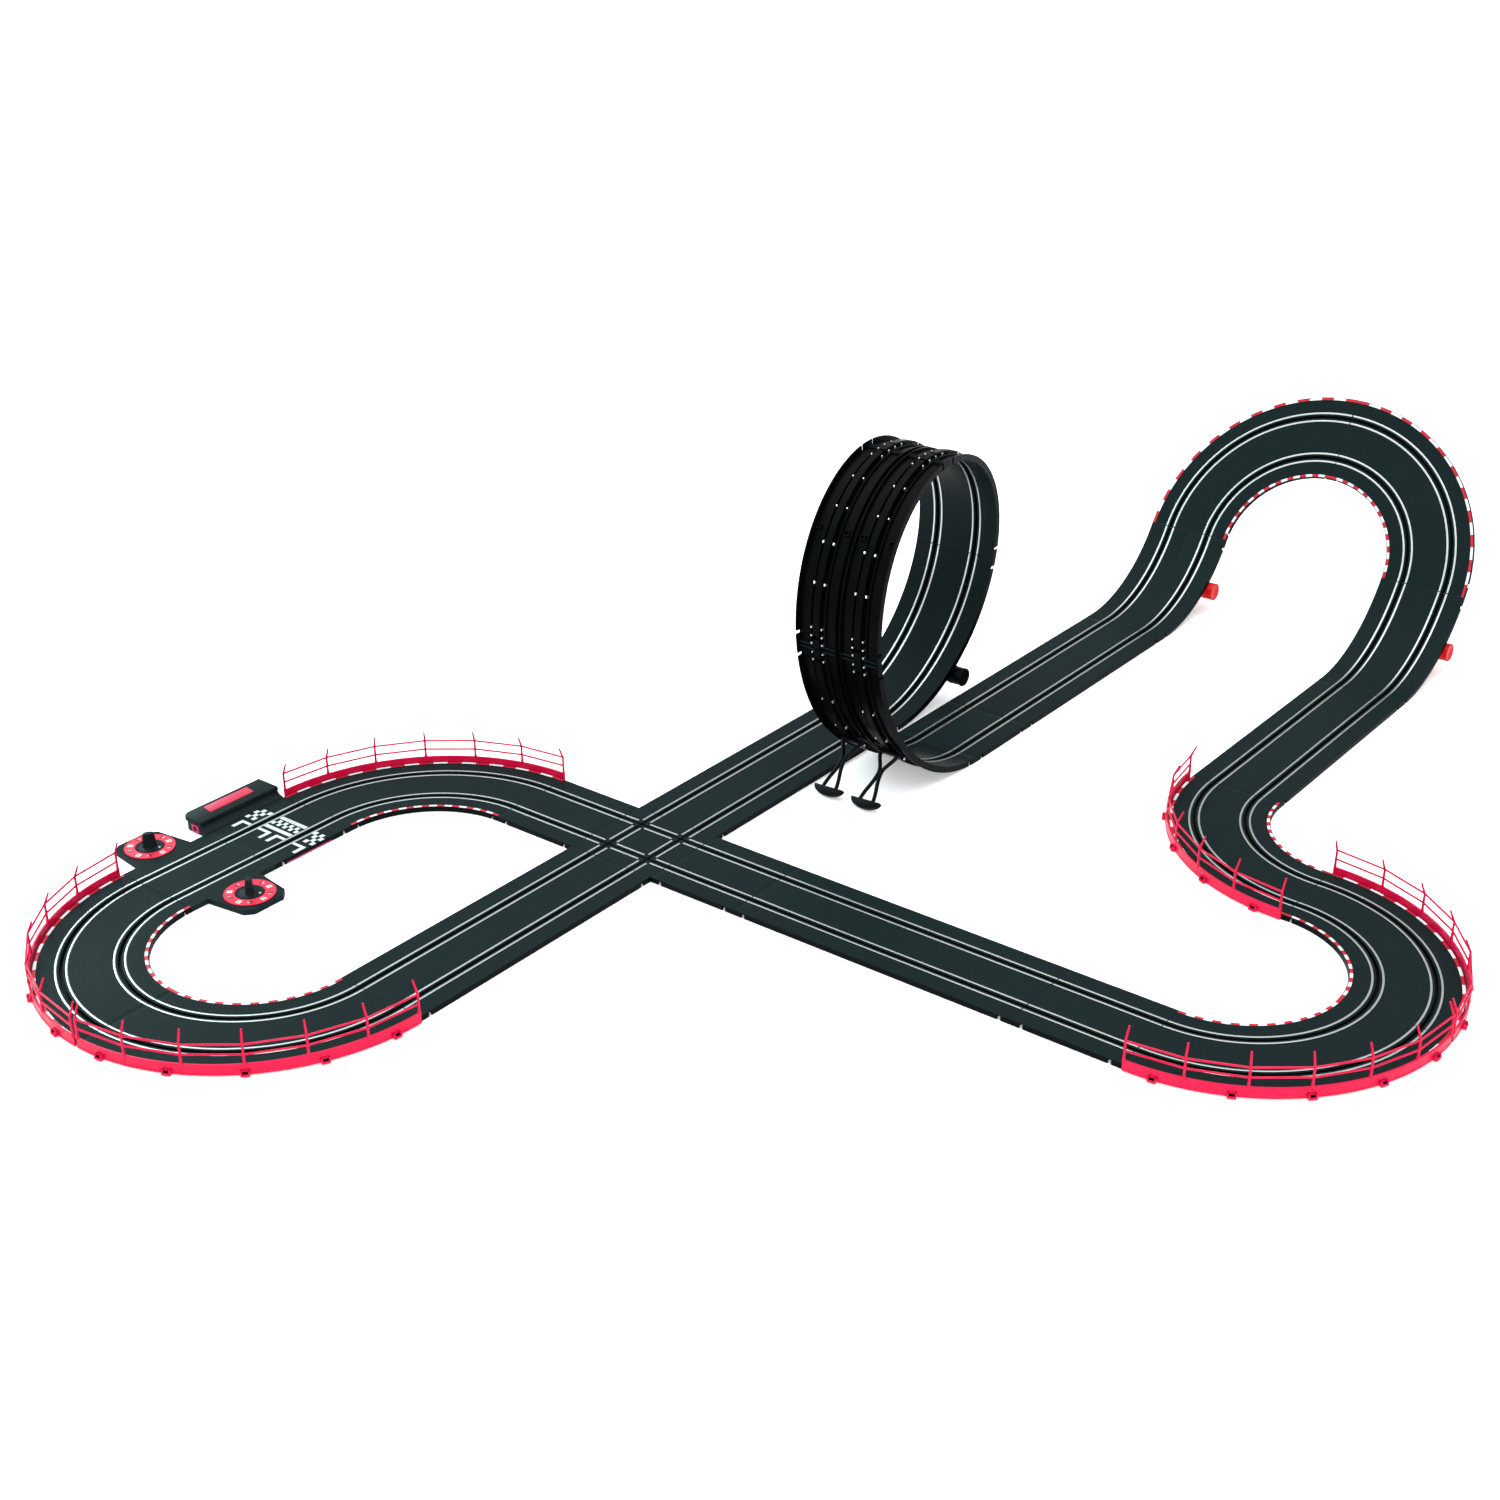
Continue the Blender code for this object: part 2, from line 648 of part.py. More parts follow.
def add_counter_track():
    """The track piece with an ear, a wheel well and a lever window on each side."""
    track = add_object("lap_counter_track", straight_mesh("lap_counter_track", THIRD), deck_black(),
                       (COUNTER_X, TOP_Y, DECK_HEIGHT))
    for side, where in ((1, "outer"), (-1, "inner")):
        ear = add_cutter("ear_" + where, flat_outline("ear_" + where, ear_outline(side), -DECK_HEIGHT, 0))
        ear.location = track.location
        boolean(track, ear, "UNION")
        work = bmesh.new()
        cylinder_into(work, (0, side * EAR_CENTRE, 0), WELL_RADIUS, -2 * DECK_HEIGHT, -PLATE, 28)
        well = add_cutter("well_" + where, mesh_from("well_" + where, work))
        work = bmesh.new()
        near, far = sorted((side * (LEVER_PIVOT - PASSAGE_MARGIN), side * (EAR_CENTRE - WELL_RADIUS / 2)))
        box_into(work, (-PASSAGE_HALF, near, -DECK_HEIGHT - OVERCUT), (PASSAGE_HALF, far, -PLATE))
        passage = add_cutter("passage_" + where, mesh_from("passage_" + where, work))
        work = bmesh.new()
        near, far = sorted(side * (LANE + reach) for reach in WINDOW_REACH)
        box_into(work, (-WINDOW_HALF, near, WINDOW_HEIGHTS[0]), (WINDOW_HALF, far, WINDOW_HEIGHTS[1]))
        window = add_cutter("window_" + where, mesh_from("window_" + where, work))
        work = bmesh.new()
        cylinder_into(work, (0, side * EAR_CENTRE, 0), SPINDLE_HOLE, -PLATE - OVERCUT, OVERCUT, 20)
        hole = add_cutter("hole_" + where, mesh_from("hole_" + where, work))
        for cutter in (well, passage, window, hole):
            cutter.location = track.location
            boolean(track, cutter, "DIFFERENCE")
        work = bmesh.new()
        cylinder_into(work, (0, side * LEVER_PIVOT, 0), PIN_RADIUS, *PIN_HEIGHTS, 12)
        pin = add_cutter("pin_" + where, mesh_from("pin_" + where, work))
        pin.location = track.location
        boolean(track, pin, "UNION")


def knob_mesh():
    """Hub disc with its spindle, and an upright grip on top."""
    low, high = HUB_HEIGHTS
    profile = ((0, high), (HUB_RADIUS, high), (HUB_RADIUS, low), (SPINDLE_RADIUS, low),
               (SPINDLE_RADIUS, SPINDLE_STEP), (SPINDLE_TIP_RADIUS, SPINDLE_STEP),
               (SPINDLE_TIP_RADIUS, SPINDLE_END), (0, SPINDLE_END))
    base = add_cutter("knob_base", turned("knob_base", profile))
    work = bmesh.new()
    wide, narrow = GRIP_HALF_WIDTHS
    middle = Matrix.Translation((0, 0, (low + GRIP_TOP) / 2))
    bmesh.ops.create_cone(work, cap_ends=True, segments=16, radius1=wide, radius2=narrow,
                          depth=GRIP_TOP - low - GRIP_FLOAT, matrix=middle)
    bmesh.ops.scale(work, verts=work.verts, vec=(GRIP_FLATNESS, 1.0, 1.0))
    boolean(base, add_cutter("knob_grip", mesh_from("knob_grip", work)), "UNION")
    bpy.context.view_layer.update()
    mesh = finished_mesh("counter_knob", base)
    mesh.shade_smooth()
    mesh.set_sharp_from_angle(angle=math.radians(35))
    return mesh


def wheel_mesh():
    """Ratchet wheel with one-way teeth and a bore."""
    points = []
    for tooth in range(WHEEL_TEETH):
        angle = 2 * math.pi * tooth / WHEEL_TEETH
        points.append((WHEEL_RADIUS * math.cos(angle), WHEEL_RADIUS * math.sin(angle)))
        root = WHEEL_RADIUS - WHEEL_TOOTH
        points.append((root * math.cos(angle + TOOTH_FACE), root * math.sin(angle + TOOTH_FACE)))
    wheel = add_cutter("wheel_blank", flat_outline("wheel_blank", points, *WHEEL_HEIGHTS))
    work = bmesh.new()
    cylinder_into(work, (0, 0, 0), SPINDLE_TIP_RADIUS + JOINT_GAP, -DECK_HEIGHT, 0, 20)
    boolean(wheel, add_cutter("wheel_bore", mesh_from("wheel_bore", work)), "DIFFERENCE")
    bpy.context.view_layer.update()
    return finished_mesh("ratchet_wheel", wheel)


def lever_mesh():
    """Trip lever about its pivot: a finger in the slot and a pawl arm."""
    finger = LEVER_PIVOT - LANE - FINGER_GAP
    arm = EAR_CENTRE - WHEEL_RADIUS - PAWL_GAP - LEVER_PIVOT
    points = [(-LEVER_TIP_HALF, -finger), (LEVER_TIP_HALF, -finger), *LEVER_FLANK]
    points += [(LEVER_TIP_HALF, arm), (-PAWL_EDGE, arm)]
    points += [(-x, y) for x, y in reversed(LEVER_FLANK)]
    lever = add_cutter("lever_blank", flat_outline("lever_blank", points, *LEVER_HEIGHTS))
    work = bmesh.new()
    cylinder_into(work, (0, 0, 0), LEVER_BORE, -DECK_HEIGHT, 0, 16)
    boolean(lever, add_cutter("lever_bore", mesh_from("lever_bore", work)), "DIFFERENCE")
    bpy.context.view_layer.update()
    return finished_mesh("trip_lever", lever)


def add_counters():
    """Dial ring, pointer knob, ratchet wheel, trip lever and cover of both counters."""
    inner, outer = DIAL_RADII
    low, high = DIAL_HEIGHTS
    dial = turned("dial_ring", ((inner, high), (outer, high), (outer, low), (inner, low)), 28)
    knob, wheel, lever = knob_mesh(), wheel_mesh(), lever_mesh()
    cover_radius = WELL_RADIUS - JOINT_GAP
    cover = turned("counter_cover", ((0, COVER_TOP), (cover_radius, COVER_TOP),
                                     (cover_radius, -DECK_HEIGHT), (0, -DECK_HEIGHT)))
    for side, where, grip_turn in ((1, "outer", GRIP_TURNS[0]), (-1, "inner", GRIP_TURNS[1])):
        centre = (COUNTER_X, TOP_Y + side * EAR_CENTRE, DECK_HEIGHT)
        add_object("dial_ring_" + where, dial, rail_red(), centre)
        grip = Matrix.Rotation(grip_turn, 4, "Z")
        add_object("counter_knob_" + where, knob, box_black(), centre, grip)
        add_object("ratchet_wheel_" + where, wheel, box_black(), centre)
        add_object("counter_cover_" + where, cover, box_black(), centre)
        pivot = (COUNTER_X, TOP_Y + side * LEVER_PIVOT, DECK_HEIGHT)
        turn = Matrix.Identity(4) if side > 0 else Matrix.Rotation(math.pi, 4, "Z")
        add_object("trip_lever_" + where, lever, box_black(), pivot, turn)


# ---------------------------------------------------------------- terminal box

TERMINAL_X = LEFT_X + 1.5 * THIRD


def terminal_side(name, points, low, high):
    """An outline across the box, drawn out along X."""
    mesh = flat_outline(name, points, low, high)
    mesh.transform(Matrix(((0, 0, 1, 0), (1, 0, 0, 0), (0, 1, 0, 0), (0, 0, 0, 1))))
    return mesh


def round_edges(obj, width):
    """Keep a live rounding on the object's edges."""
    bevel = obj.modifiers.new("edges", "BEVEL")
    bevel.width = width
    bevel.segments = 2
    bevel.limit_method = "ANGLE"


def terminal_plan(front, inset):
    """Outline of the box from above: its outer left corner is well rounded."""
    left, right, outer = inset - TERMINAL_HALF, TERMINAL_HALF - inset, TERMINAL_OUTER - inset
    points = [(left, front), (right, front), (right, outer)]
    for i in range(5):
        angle = math.pi / 2 * (1 + i / 4)
        x = left + TERMINAL_CORNER * (1 + math.cos(angle))
        y = outer - TERMINAL_CORNER * (1 - math.sin(angle))
        points.append((x, y))
    return points


def add_terminal_housing(place, near):
    """The box's lower half: a hollow curve down to the deck in front, and a pocket for the jack."""
    body = [(near, -DECK_HEIGHT), (TERMINAL_OUTER, -DECK_HEIGHT), (TERMINAL_OUTER, TERMINAL_SPLIT)]
    body += [(near + y, z) for y, z in reversed(TERMINAL_FLARE)]
    mesh = terminal_side("terminal_housing", body, -TERMINAL_HALF, TERMINAL_HALF)
    housing = add_object("terminal_housing", mesh, box_black(), place)
    outline = terminal_plan(near - LID_OVERHANG, LID_OVERHANG)
    plan = flat_outline("terminal_plan", outline, -2 * DECK_HEIGHT, TERMINAL_TOP)
    cutter = add_cutter("terminal_plan", plan)
    cutter.location = place
    boolean(housing, cutter, "INTERSECT")
    work = bmesh.new()
    side = JACK_HALF + JOINT_GAP
    box_into(work, (-2 * TERMINAL_HALF, JACK_CENTRE - side, -2 * DECK_HEIGHT),
             (JACK_LENGTH + JOINT_GAP - TERMINAL_HALF, JACK_CENTRE + side, TERMINAL_TOP))
    pocket = add_cutter("jack_pocket", mesh_from("jack_pocket", work))
    pocket.location = place
    boolean(housing, pocket, "DIFFERENCE")


def add_power_jack(place):
    """The power jack in the left end of the box, with its round socket."""
    work = bmesh.new()
    box_into(work, (-TERMINAL_HALF, JACK_CENTRE - JACK_HALF, JACK_BOTTOM),
             (JACK_LENGTH - TERMINAL_HALF, JACK_CENTRE + JACK_HALF, TERMINAL_SPLIT - JOINT_GAP))
    jack = add_object("power_jack", mesh_from("power_jack", work), jack_red(), place)
    work = bmesh.new()
    lie = Matrix.Translation((-TERMINAL_HALF, JACK_CENTRE, 0)) @ Matrix.Rotation(math.pi / 2, 4, "Y")
    bmesh.ops.create_cone(work, cap_ends=True, segments=20, radius1=SOCKET_RADIUS, radius2=SOCKET_RADIUS,
                          depth=2 * SOCKET_DEPTH, matrix=lie)
    socket = add_cutter("jack_socket", mesh_from("jack_socket", work))
    socket.location = place
    boolean(jack, socket, "DIFFERENCE")


def add_terminal():
    """Housing, lid, label plate and power jack of the connecting track."""
    place = (TERMINAL_X, TOP_Y, DECK_HEIGHT)
    near = HALF_WIDTH + JOINT_GAP
    add_terminal_housing(place, near)
    front = near + TERMINAL_FLARE[-1][0]
    mesh = flat_outline("terminal_lid", terminal_plan(front, 0), TERMINAL_SPLIT + JOINT_GAP, TERMINAL_TOP)
    round_edges(add_object("terminal_lid", mesh, box_black(), place), LID_ROUNDING)
    corners = ((-LABEL_SLANT - LABEL_HALF, -1), (-LABEL_SLANT + LABEL_HALF, -1),
               (LABEL_SLANT + LABEL_HALF, 1), (LABEL_SLANT - LABEL_HALF, 1))
    points = [(x, LABEL_CENTRE + side * LABEL_HALF_DEPTH) for x, side in corners]
    top = TERMINAL_TOP + JOINT_GAP
    mesh = flat_outline("label_plate", points, top, top + LABEL_THICKNESS)
    add_object("label_plate", mesh, label_red(), place)
    add_power_jack(place)


# ---------------------------------------------------------------- supports

def clamp_mesh(name, reach):
    """A short barrel that lies along Y, part under the deck and part beside it."""
    work = bmesh.new()
    outer = -HALF_WIDTH - reach
    cylinder_into(work, (0, 0, 0), CLAMP_RADIUS, outer, outer + CLAMP_LENGTH, 24, "Y")
    return mesh_from(name, work, smooth=True)


def add_clamps():
    """Barrel clamps under both ramps and under the falling side of the loop."""
    drop = DECK_HEIGHT + JOINT_GAP + CLAMP_RADIUS
    along = RAMP_FLAT + BANK_CLAMP_SHARE * RAMP_RADIUS * BANK_ANGLE
    x, z = ramp_point(along, -drop)
    for end, side, reach in (("south", -1, SOUTH_CLAMP_REACH), ("north", 1, NORTH_CLAMP_REACH)):
        name = "bank_clamp_" + end
        place = (RAMP_X + x, BANK_Y + side * CURVE_RADIUS, DECK_HEIGHT + z)
        add_object(name, clamp_mesh(name, reach), rail_red(), place)
    x, z = loop_point(LOOP_CLAMP_ANGLE, -drop - LOOP_DEEPER)
    side = loop_side(LOOP_CLAMP_ANGLE / (2 * math.pi)) - LOOP_SHIFT
    mesh = clamp_mesh("loop_clamp", LOOP_CLAMP_REACH)
    add_object("loop_clamp", mesh, box_black(), (LOOP_X + x, side, DECK_HEIGHT + z))


def leg_spread(f):
    """Half the distance between a leg's rods, from its plug to its foot."""
    top, waist, foot = LEG_ROD_SPREAD
    if f < LEG_WAIST:
        return waist + (top - waist) * (1 + math.cos(math.pi * f / LEG_WAIST)) / 2
    return waist + (foot - waist) * (1 - math.cos(math.pi * (f - LEG_WAIST) / (1 - LEG_WAIST))) / 2


def leg_mesh(length):
    """Two rods that meet at a waist, between a plug and a half-moon foot, along -Z."""
    reach = length - LEG_FOOT_DEPTH + LEG_ROD_LAP
    rods = []
    for sign in (-1, 1):
        points = []
        for i in range(LEG_ROD_STEPS + 1):
            f = i / LEG_ROD_STEPS
            points.append((sign * LEG_ROD_OFFSET, sign * leg_spread(f), -f * reach - LEG_ROD_LAP / 2))
        rods.append(tube("leg_rod", points, LEG_ROD, 1))
    arc = [(LEG_FOOT_HALF * math.cos(a), LEG_FOOT_DEPTH * math.sin(a))
           for a in [math.pi + math.pi * i / 12 for i in range(13)]]
    foot = flat_outline("leg_foot", arc, -LEG_FOOT_THICKNESS / 2, LEG_FOOT_THICKNESS / 2)
    foot.transform(Matrix(((0, 0, 1, 0), (1, 0, 0, 0), (0, 1, 0, 0), (0, 0, 0, 1))))
    foot.transform(Matrix.Rotation(-LEG_FOOT_TURN, 4, "Z"))
    foot.transform(Matrix.Translation((0, 0, LEG_FOOT_DEPTH - length)))
    leg = add_cutter("leg_foot", foot)
    work = bmesh.new()
    depth, width, height = LEG_PLUG
    box_into(work, (-depth, -width, -height), (depth, width, 0))
    boolean(leg, add_cutter("leg_plug", mesh_from("leg_plug", work)), "UNION")
    for number, rod in enumerate(rods):
        boolean(leg, add_cutter("leg_rod_%d" % number, rod), "UNION")
    bpy.context.view_layer.update()
    return finished_mesh("loop_leg", leg)


def add_legs():
    """Two legs that stand square to the underside of the loop's entry."""
    x, z = loop_point(LEG_ANGLE, -DECK_HEIGHT - LOOP_DEEPER - JOINT_GAP)
    y = loop_side(LEG_ANGLE / (2 * math.pi)) - LOOP_SHIFT
    mesh = leg_mesh((DECK_HEIGHT + z - LEG_FLOOR_GAP) / math.cos(LEG_ANGLE))
    lean = Matrix.Rotation(LEG_ANGLE, 4, "Y")
    for name, side in (("loop_leg_north", LEG_SIDES[0]), ("loop_leg_south", LEG_SIDES[1])):
        add_object(name, mesh, box_black(), (LOOP_X + x, y + side, DECK_HEIGHT + z), lean)


clear_scene()
PARTS = make_collection("slot_car_track_set")
CUTTERS = make_collection("cutters")
add_flat_deck()
add_crossing()
add_counter_track()
add_counters()
add_terminal()
add_loop()
add_bank()
add_guard_rails()
add_clamps()
add_legs()
bpy.context.view_layer.update()
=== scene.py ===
"""Looks of the slot car track set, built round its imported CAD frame.

Metres, +Z up, in the frame of the CAD. Track pieces are lofted along their own centre-line:
s runs along a piece, u across it and v up from its running surface.
"""

import json
import math

import bmesh
import bpy
from mathutils import Matrix, Vector


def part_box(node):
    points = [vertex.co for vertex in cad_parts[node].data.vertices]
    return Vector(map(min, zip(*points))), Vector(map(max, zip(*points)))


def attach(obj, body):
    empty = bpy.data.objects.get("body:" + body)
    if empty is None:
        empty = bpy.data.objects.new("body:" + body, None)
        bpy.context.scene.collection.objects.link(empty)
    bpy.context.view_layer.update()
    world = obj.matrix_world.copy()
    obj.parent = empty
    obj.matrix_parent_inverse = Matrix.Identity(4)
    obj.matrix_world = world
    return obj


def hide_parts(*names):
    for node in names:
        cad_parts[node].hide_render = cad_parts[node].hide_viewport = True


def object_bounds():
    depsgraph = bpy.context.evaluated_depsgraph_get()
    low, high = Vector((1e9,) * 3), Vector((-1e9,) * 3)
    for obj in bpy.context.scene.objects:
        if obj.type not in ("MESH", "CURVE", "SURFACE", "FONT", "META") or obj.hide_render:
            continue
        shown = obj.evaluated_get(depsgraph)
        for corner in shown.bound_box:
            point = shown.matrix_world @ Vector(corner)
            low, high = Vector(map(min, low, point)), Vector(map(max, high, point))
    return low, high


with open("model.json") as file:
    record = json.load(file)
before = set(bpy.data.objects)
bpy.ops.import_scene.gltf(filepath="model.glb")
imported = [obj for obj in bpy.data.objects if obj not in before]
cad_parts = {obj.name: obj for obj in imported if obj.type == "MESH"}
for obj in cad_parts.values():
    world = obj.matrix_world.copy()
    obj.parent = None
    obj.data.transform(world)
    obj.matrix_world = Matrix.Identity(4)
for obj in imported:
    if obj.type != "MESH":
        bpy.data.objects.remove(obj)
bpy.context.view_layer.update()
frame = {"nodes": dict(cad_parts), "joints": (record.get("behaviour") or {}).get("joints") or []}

# Track system, as in the CAD
CURVE_RADIUS = 0.171
HALF = 0.057
LANE = 0.0285
DECK = 0.006
GAP = 0.0003
PLATE = 0.002
SKIRT = 0.002
SLOT_HALF = 0.0015
SLOT_DEPTH = 0.0042
SLOT_LIP = 0.0009
LOOP_RADIUS = 0.174
LOOP_SHIFT = 0.123
LOOP_SOFTNESS = 0.67
LOOP_LEAN = 0.0095
LOOP_DEEPER = 0.002
LOOP_TAPER = math.radians(30)
LOOP_X = 0.399
BANK_ANGLE = math.radians(56)
RAMP_RADIUS = 0.192
RAMP_FLAT = 0.0085
RAMP_RUN = 0.0028
RAMP_LENGTH = RAMP_FLAT + RAMP_RADIUS * BANK_ANGLE + RAMP_RUN
RAIL_IN = CURVE_RADIUS + HALF + 0.0012
RAIL_THICK = 0.002
RAIL_SPAN = math.radians(88.9)
POST_PITCH = math.radians(14.7)
POST_RADIUS = 0.0013
POST_BEND = 0.0278
POST_TOP = 0.0415
POST_LEAN = 0.006
WIRES = (0.0168, 0.0278)
WIRE_RADIUS = 0.0011
CLIP_PITCH = math.radians(18.3)
SEAM_HALF = 0.0022
SEAM_DEPTH = 0.00035
TERMINAL_CORNER = 0.011
LABEL_SLANT = 0.0024
LEG_ANGLE = math.radians(46)
LEG_FOOT_HALF = 0.022
LEG_FOOT_TURN = math.radians(10)
LEG_SPREAD = (0.0118, 0.0020, 0.0092)
LEG_WAIST = 0.4
LEG_ROD = 0.0023

# Details on the track pieces
STRIP_OFFSET = 0.0054
STRIP_HALF = 0.0011
STRIP_PROUD = 0.00015
SEAT_HALF = 0.0014
SEAT_DEPTH = 0.0004
EDGE = 0.0004
END_EDGE = 0.00015
END_STEP = 0.0005
NOTCH_AT = 0.0125
NOTCH_HALF = 0.0020
NOTCH_TOP = 0.0023
NOTCH_LIP = 0.0012
NOTCH_BITE = 0.0016
KERB_INSET = 0.0009
KERB_WIDTH = 0.0033
KERB_BLOCKS = 21
RIB_TOP = -PLATE + 0.0002
END_RIBS = ((0.0015, 0.0030), (0.0085, 0.0100), (0.0150, 0.0165))
CLIP_BLOCK = (0.0035, 0.0070)
CROSS_CLEAR = 0.0085

# Added to a deck's first texture coordinate on every face below its running surface, which the deck material
# then darkens as painted shade
SHADE_UV_SHIFT = 10.0


# ---------------------------------------------------------------- materials

def fill(node, values):
    """Set a node's sockets by name, with _ for a space."""
    for key, value in values.items():
        node.inputs[key.replace("_", " ")].default_value = value


class Nodes:
    """Builds a tree of shader nodes."""

    def __init__(self, tree):
        self.tree = tree
        self.link = tree.links.new
        self.coords = tree.nodes.new("ShaderNodeTexCoord")

    def node(self, kind, **inputs):
        made = self.tree.nodes.new(kind)
        fill(made, inputs)
        return made

    def place(self, space, scale):
        """Texture coordinates, stretched along their axes."""
        mapping = self.node("ShaderNodeMapping", Scale=scale)
        self.link(self.coords.outputs[space], mapping.inputs["Vector"])
        return mapping.outputs["Vector"]

    def axis(self, space, name):
        """One axis of the texture coordinates."""
        split = self.node("ShaderNodeSeparateXYZ")
        self.link(self.coords.outputs[space], split.inputs["Vector"])
        return split.outputs[name]

    def noise(self, scale, detail, rough, at=None):
        made = self.node("ShaderNodeTexNoise", Scale=scale, Detail=detail, Roughness=rough)
        self.link(at or self.coords.outputs["Object"], made.inputs["Vector"])
        return made.outputs["Fac"]

    def spread(self, value, low, high, out_low=0.0, out_high=1.0):
        """Map one range of a value onto another, held at its ends."""
        made = self.node("ShaderNodeMapRange", From_Min=low, From_Max=high, To_Min=out_low, To_Max=out_high)
        self.link(value, made.inputs["Value"])
        return made.outputs["Result"]

    def maths(self, operation, a, b):
        made = self.tree.nodes.new("ShaderNodeMath")
        made.operation = operation
        for slot, value in enumerate((a, b)):
            if isinstance(value, (int, float)):
                made.inputs[slot].default_value = value
            else:
                self.link(value, made.inputs[slot])
        return made.outputs["Value"]

    def blend(self, factor, a, b):
        """Mix two colours; either may be a colour or another node's output."""
        made = self.tree.nodes.new("ShaderNodeMix")
        made.data_type = "RGBA"
        self.link(factor, made.inputs["Factor"])
        for slot, value in ((6, a), (7, b)):
            if isinstance(value, tuple):
                made.inputs[slot].default_value = (*value, 1.0)
            else:
                self.link(value, made.inputs[slot])
        return made.outputs[2]


class Surface(Nodes):
    """Builds one procedural material."""

    def __init__(self, name, **values):
        self.material = bpy.data.materials.new(name)
        self.material.use_nodes = True
        super().__init__(self.material.node_tree)
        self.shader = self.tree.nodes["Principled BSDF"]
        fill(self.shader, values)

    def colour(self, value):
        self.link(value, self.shader.inputs["Base Color"])

    def roughness(self, value):
        self.link(value, self.shader.inputs["Roughness"])

    def bump(self, height, strength, distance):
        made = self.node("ShaderNodeBump", Strength=strength, Distance=distance)
        self.link(height, made.inputs["Height"])
        self.link(made.outputs["Normal"], self.shader.inputs["Normal"])


def tint(colour, factor):
    """A colour made darker or lighter."""
    return tuple(min(1.0, c * factor) for c in colour)


def moulded(name, colour, rough, specular, grain=1500.0, relief=0.25, wear=0.12):
    """Moulded plastic: fine grain, soft mottling, and faint scuffs."""
    made = Surface(name, Specular_IOR_Level=specular)
    grains = made.noise(grain, 3.0, 0.6)
    clouds = made.noise(14.0, 4.0, 0.55)
    spots = made.noise(210.0, 5.0, 0.7)
    scuffs = made.spread(made.noise(95.0, 6.0, 0.75, made.place("Object", (1.0, 5.0, 1.0))), 0.58, 0.72)
    base = made.blend(clouds, tint(colour, 0.86), tint(colour, 1.16))
    base = made.blend(made.spread(spots, 0.3, 0.8, 0.0, 0.35), base, tint(colour, 0.72))
    base = made.blend(made.maths("MULTIPLY", scuffs, wear), base, tint(colour, 1.9))
    made.colour(base)
    level = made.maths("ADD", made.spread(clouds, 0.25, 0.75, rough - 0.05, rough + 0.06),
                       made.spread(grains, 0.2, 0.8, -0.04, 0.05))
    made.roughness(made.maths("SUBTRACT", level, made.maths("MULTIPLY", scuffs, 0.12)))
    made.bump(grains, relief, 0.00012)
    return made.material


def track_plastic(name, colour, under, rough, specular):
    """Track deck: grained plastic with faint tyre marks along it, and painted shade on every face off its
    running surface, skirts and slot walls included.
    """
    made = Surface(name, Specular_IOR_Level=specular)
    grains = made.noise(1700.0, 3.0, 0.65)
    clouds = made.noise(9.0, 4.0, 0.6)
    spots = made.noise(260.0, 4.0, 0.7)
    along = made.place("UV", (9.0, 620.0, 1.0))
    streaks = made.spread(made.noise(1.0, 5.0, 0.6, along), 0.45, 0.75)
    dust = made.spread(made.noise(700.0, 2.0, 0.5), 0.66, 0.74)
    base = made.blend(clouds, tint(colour, 0.88), tint(colour, 1.14))
    base = made.blend(made.spread(spots, 0.3, 0.8, 0.0, 0.3), base, tint(colour, 0.7))
    base = made.blend(made.maths("MULTIPLY", streaks, 0.16), base, tint(colour, 1.7))
    base = made.blend(made.maths("MULTIPLY", dust, 0.10), base, tint(colour, 3.0))
    # Painted shade: faces off the running surface, slot walls and skirts included, take the darker under
    # colour
    below = made.spread(made.axis("UV", "X"), 0.45 * SHADE_UV_SHIFT, 0.55 * SHADE_UV_SHIFT)
    base = made.blend(below, base, made.blend(clouds, tint(under, 0.8), tint(under, 1.2)))
    made.colour(base)
    level = made.maths("ADD", made.spread(clouds, 0.25, 0.75, rough - 0.04, rough + 0.05),
                       made.spread(grains, 0.2, 0.8, -0.05, 0.06))
    made.roughness(made.maths("SUBTRACT", level, made.maths("MULTIPLY", streaks, 0.09)))
    made.bump(grains, 0.35, 0.00015)
    return made.material


def strip_metal(name, dull, bright):
    """Plated steel strip: drawn lines along its length, and dark spots of wear."""
    made = Surface(name, Metallic=1.0)
    lines = made.noise(1.0, 4.0, 0.7, made.place("UV", (14.0, 5200.0, 1.0)))
    clouds = made.noise(30.0, 4.0, 0.6)
    spots = made.spread(made.noise(420.0, 4.0, 0.7), 0.62, 0.75)
    base = made.blend(clouds, dull, bright)
    base = made.blend(made.spread(lines, 0.35, 0.7, 0.0, 0.30), base, tint(dull, 0.75))
    base = made.blend(made.maths("MULTIPLY", spots, 0.35), base, (0.22, 0.21, 0.20))
    made.colour(base)
    worn = made.maths("MULTIPLY", spots, 0.2)
    made.roughness(made.maths("ADD", made.spread(lines, 0.3, 0.7, 0.30, 0.44), worn))
    made.bump(lines, 0.12, 0.00008)
    return made.material


def printed(name, colour, rough=0.5):
    """Printed ink: a thin, slightly uneven layer with pinholes."""
    made = Surface(name, Specular_IOR_Level=0.2)
    film = made.noise(900.0, 3.0, 0.6)
    clouds = made.noise(40.0, 3.0, 0.6)
    holes = made.spread(made.noise(1500.0, 3.0, 0.6), 0.66, 0.73)
    base = made.blend(clouds, tint(colour, 0.9), tint(colour, 1.05))
    base = made.blend(made.maths("MULTIPLY", holes, 0.5), base, tint(colour, 0.35))
    made.colour(base)
    made.roughness(made.spread(film, 0.2, 0.8, rough - 0.08, rough + 0.1))
    made.bump(film, 0.2, 0.00008)
    return made.material
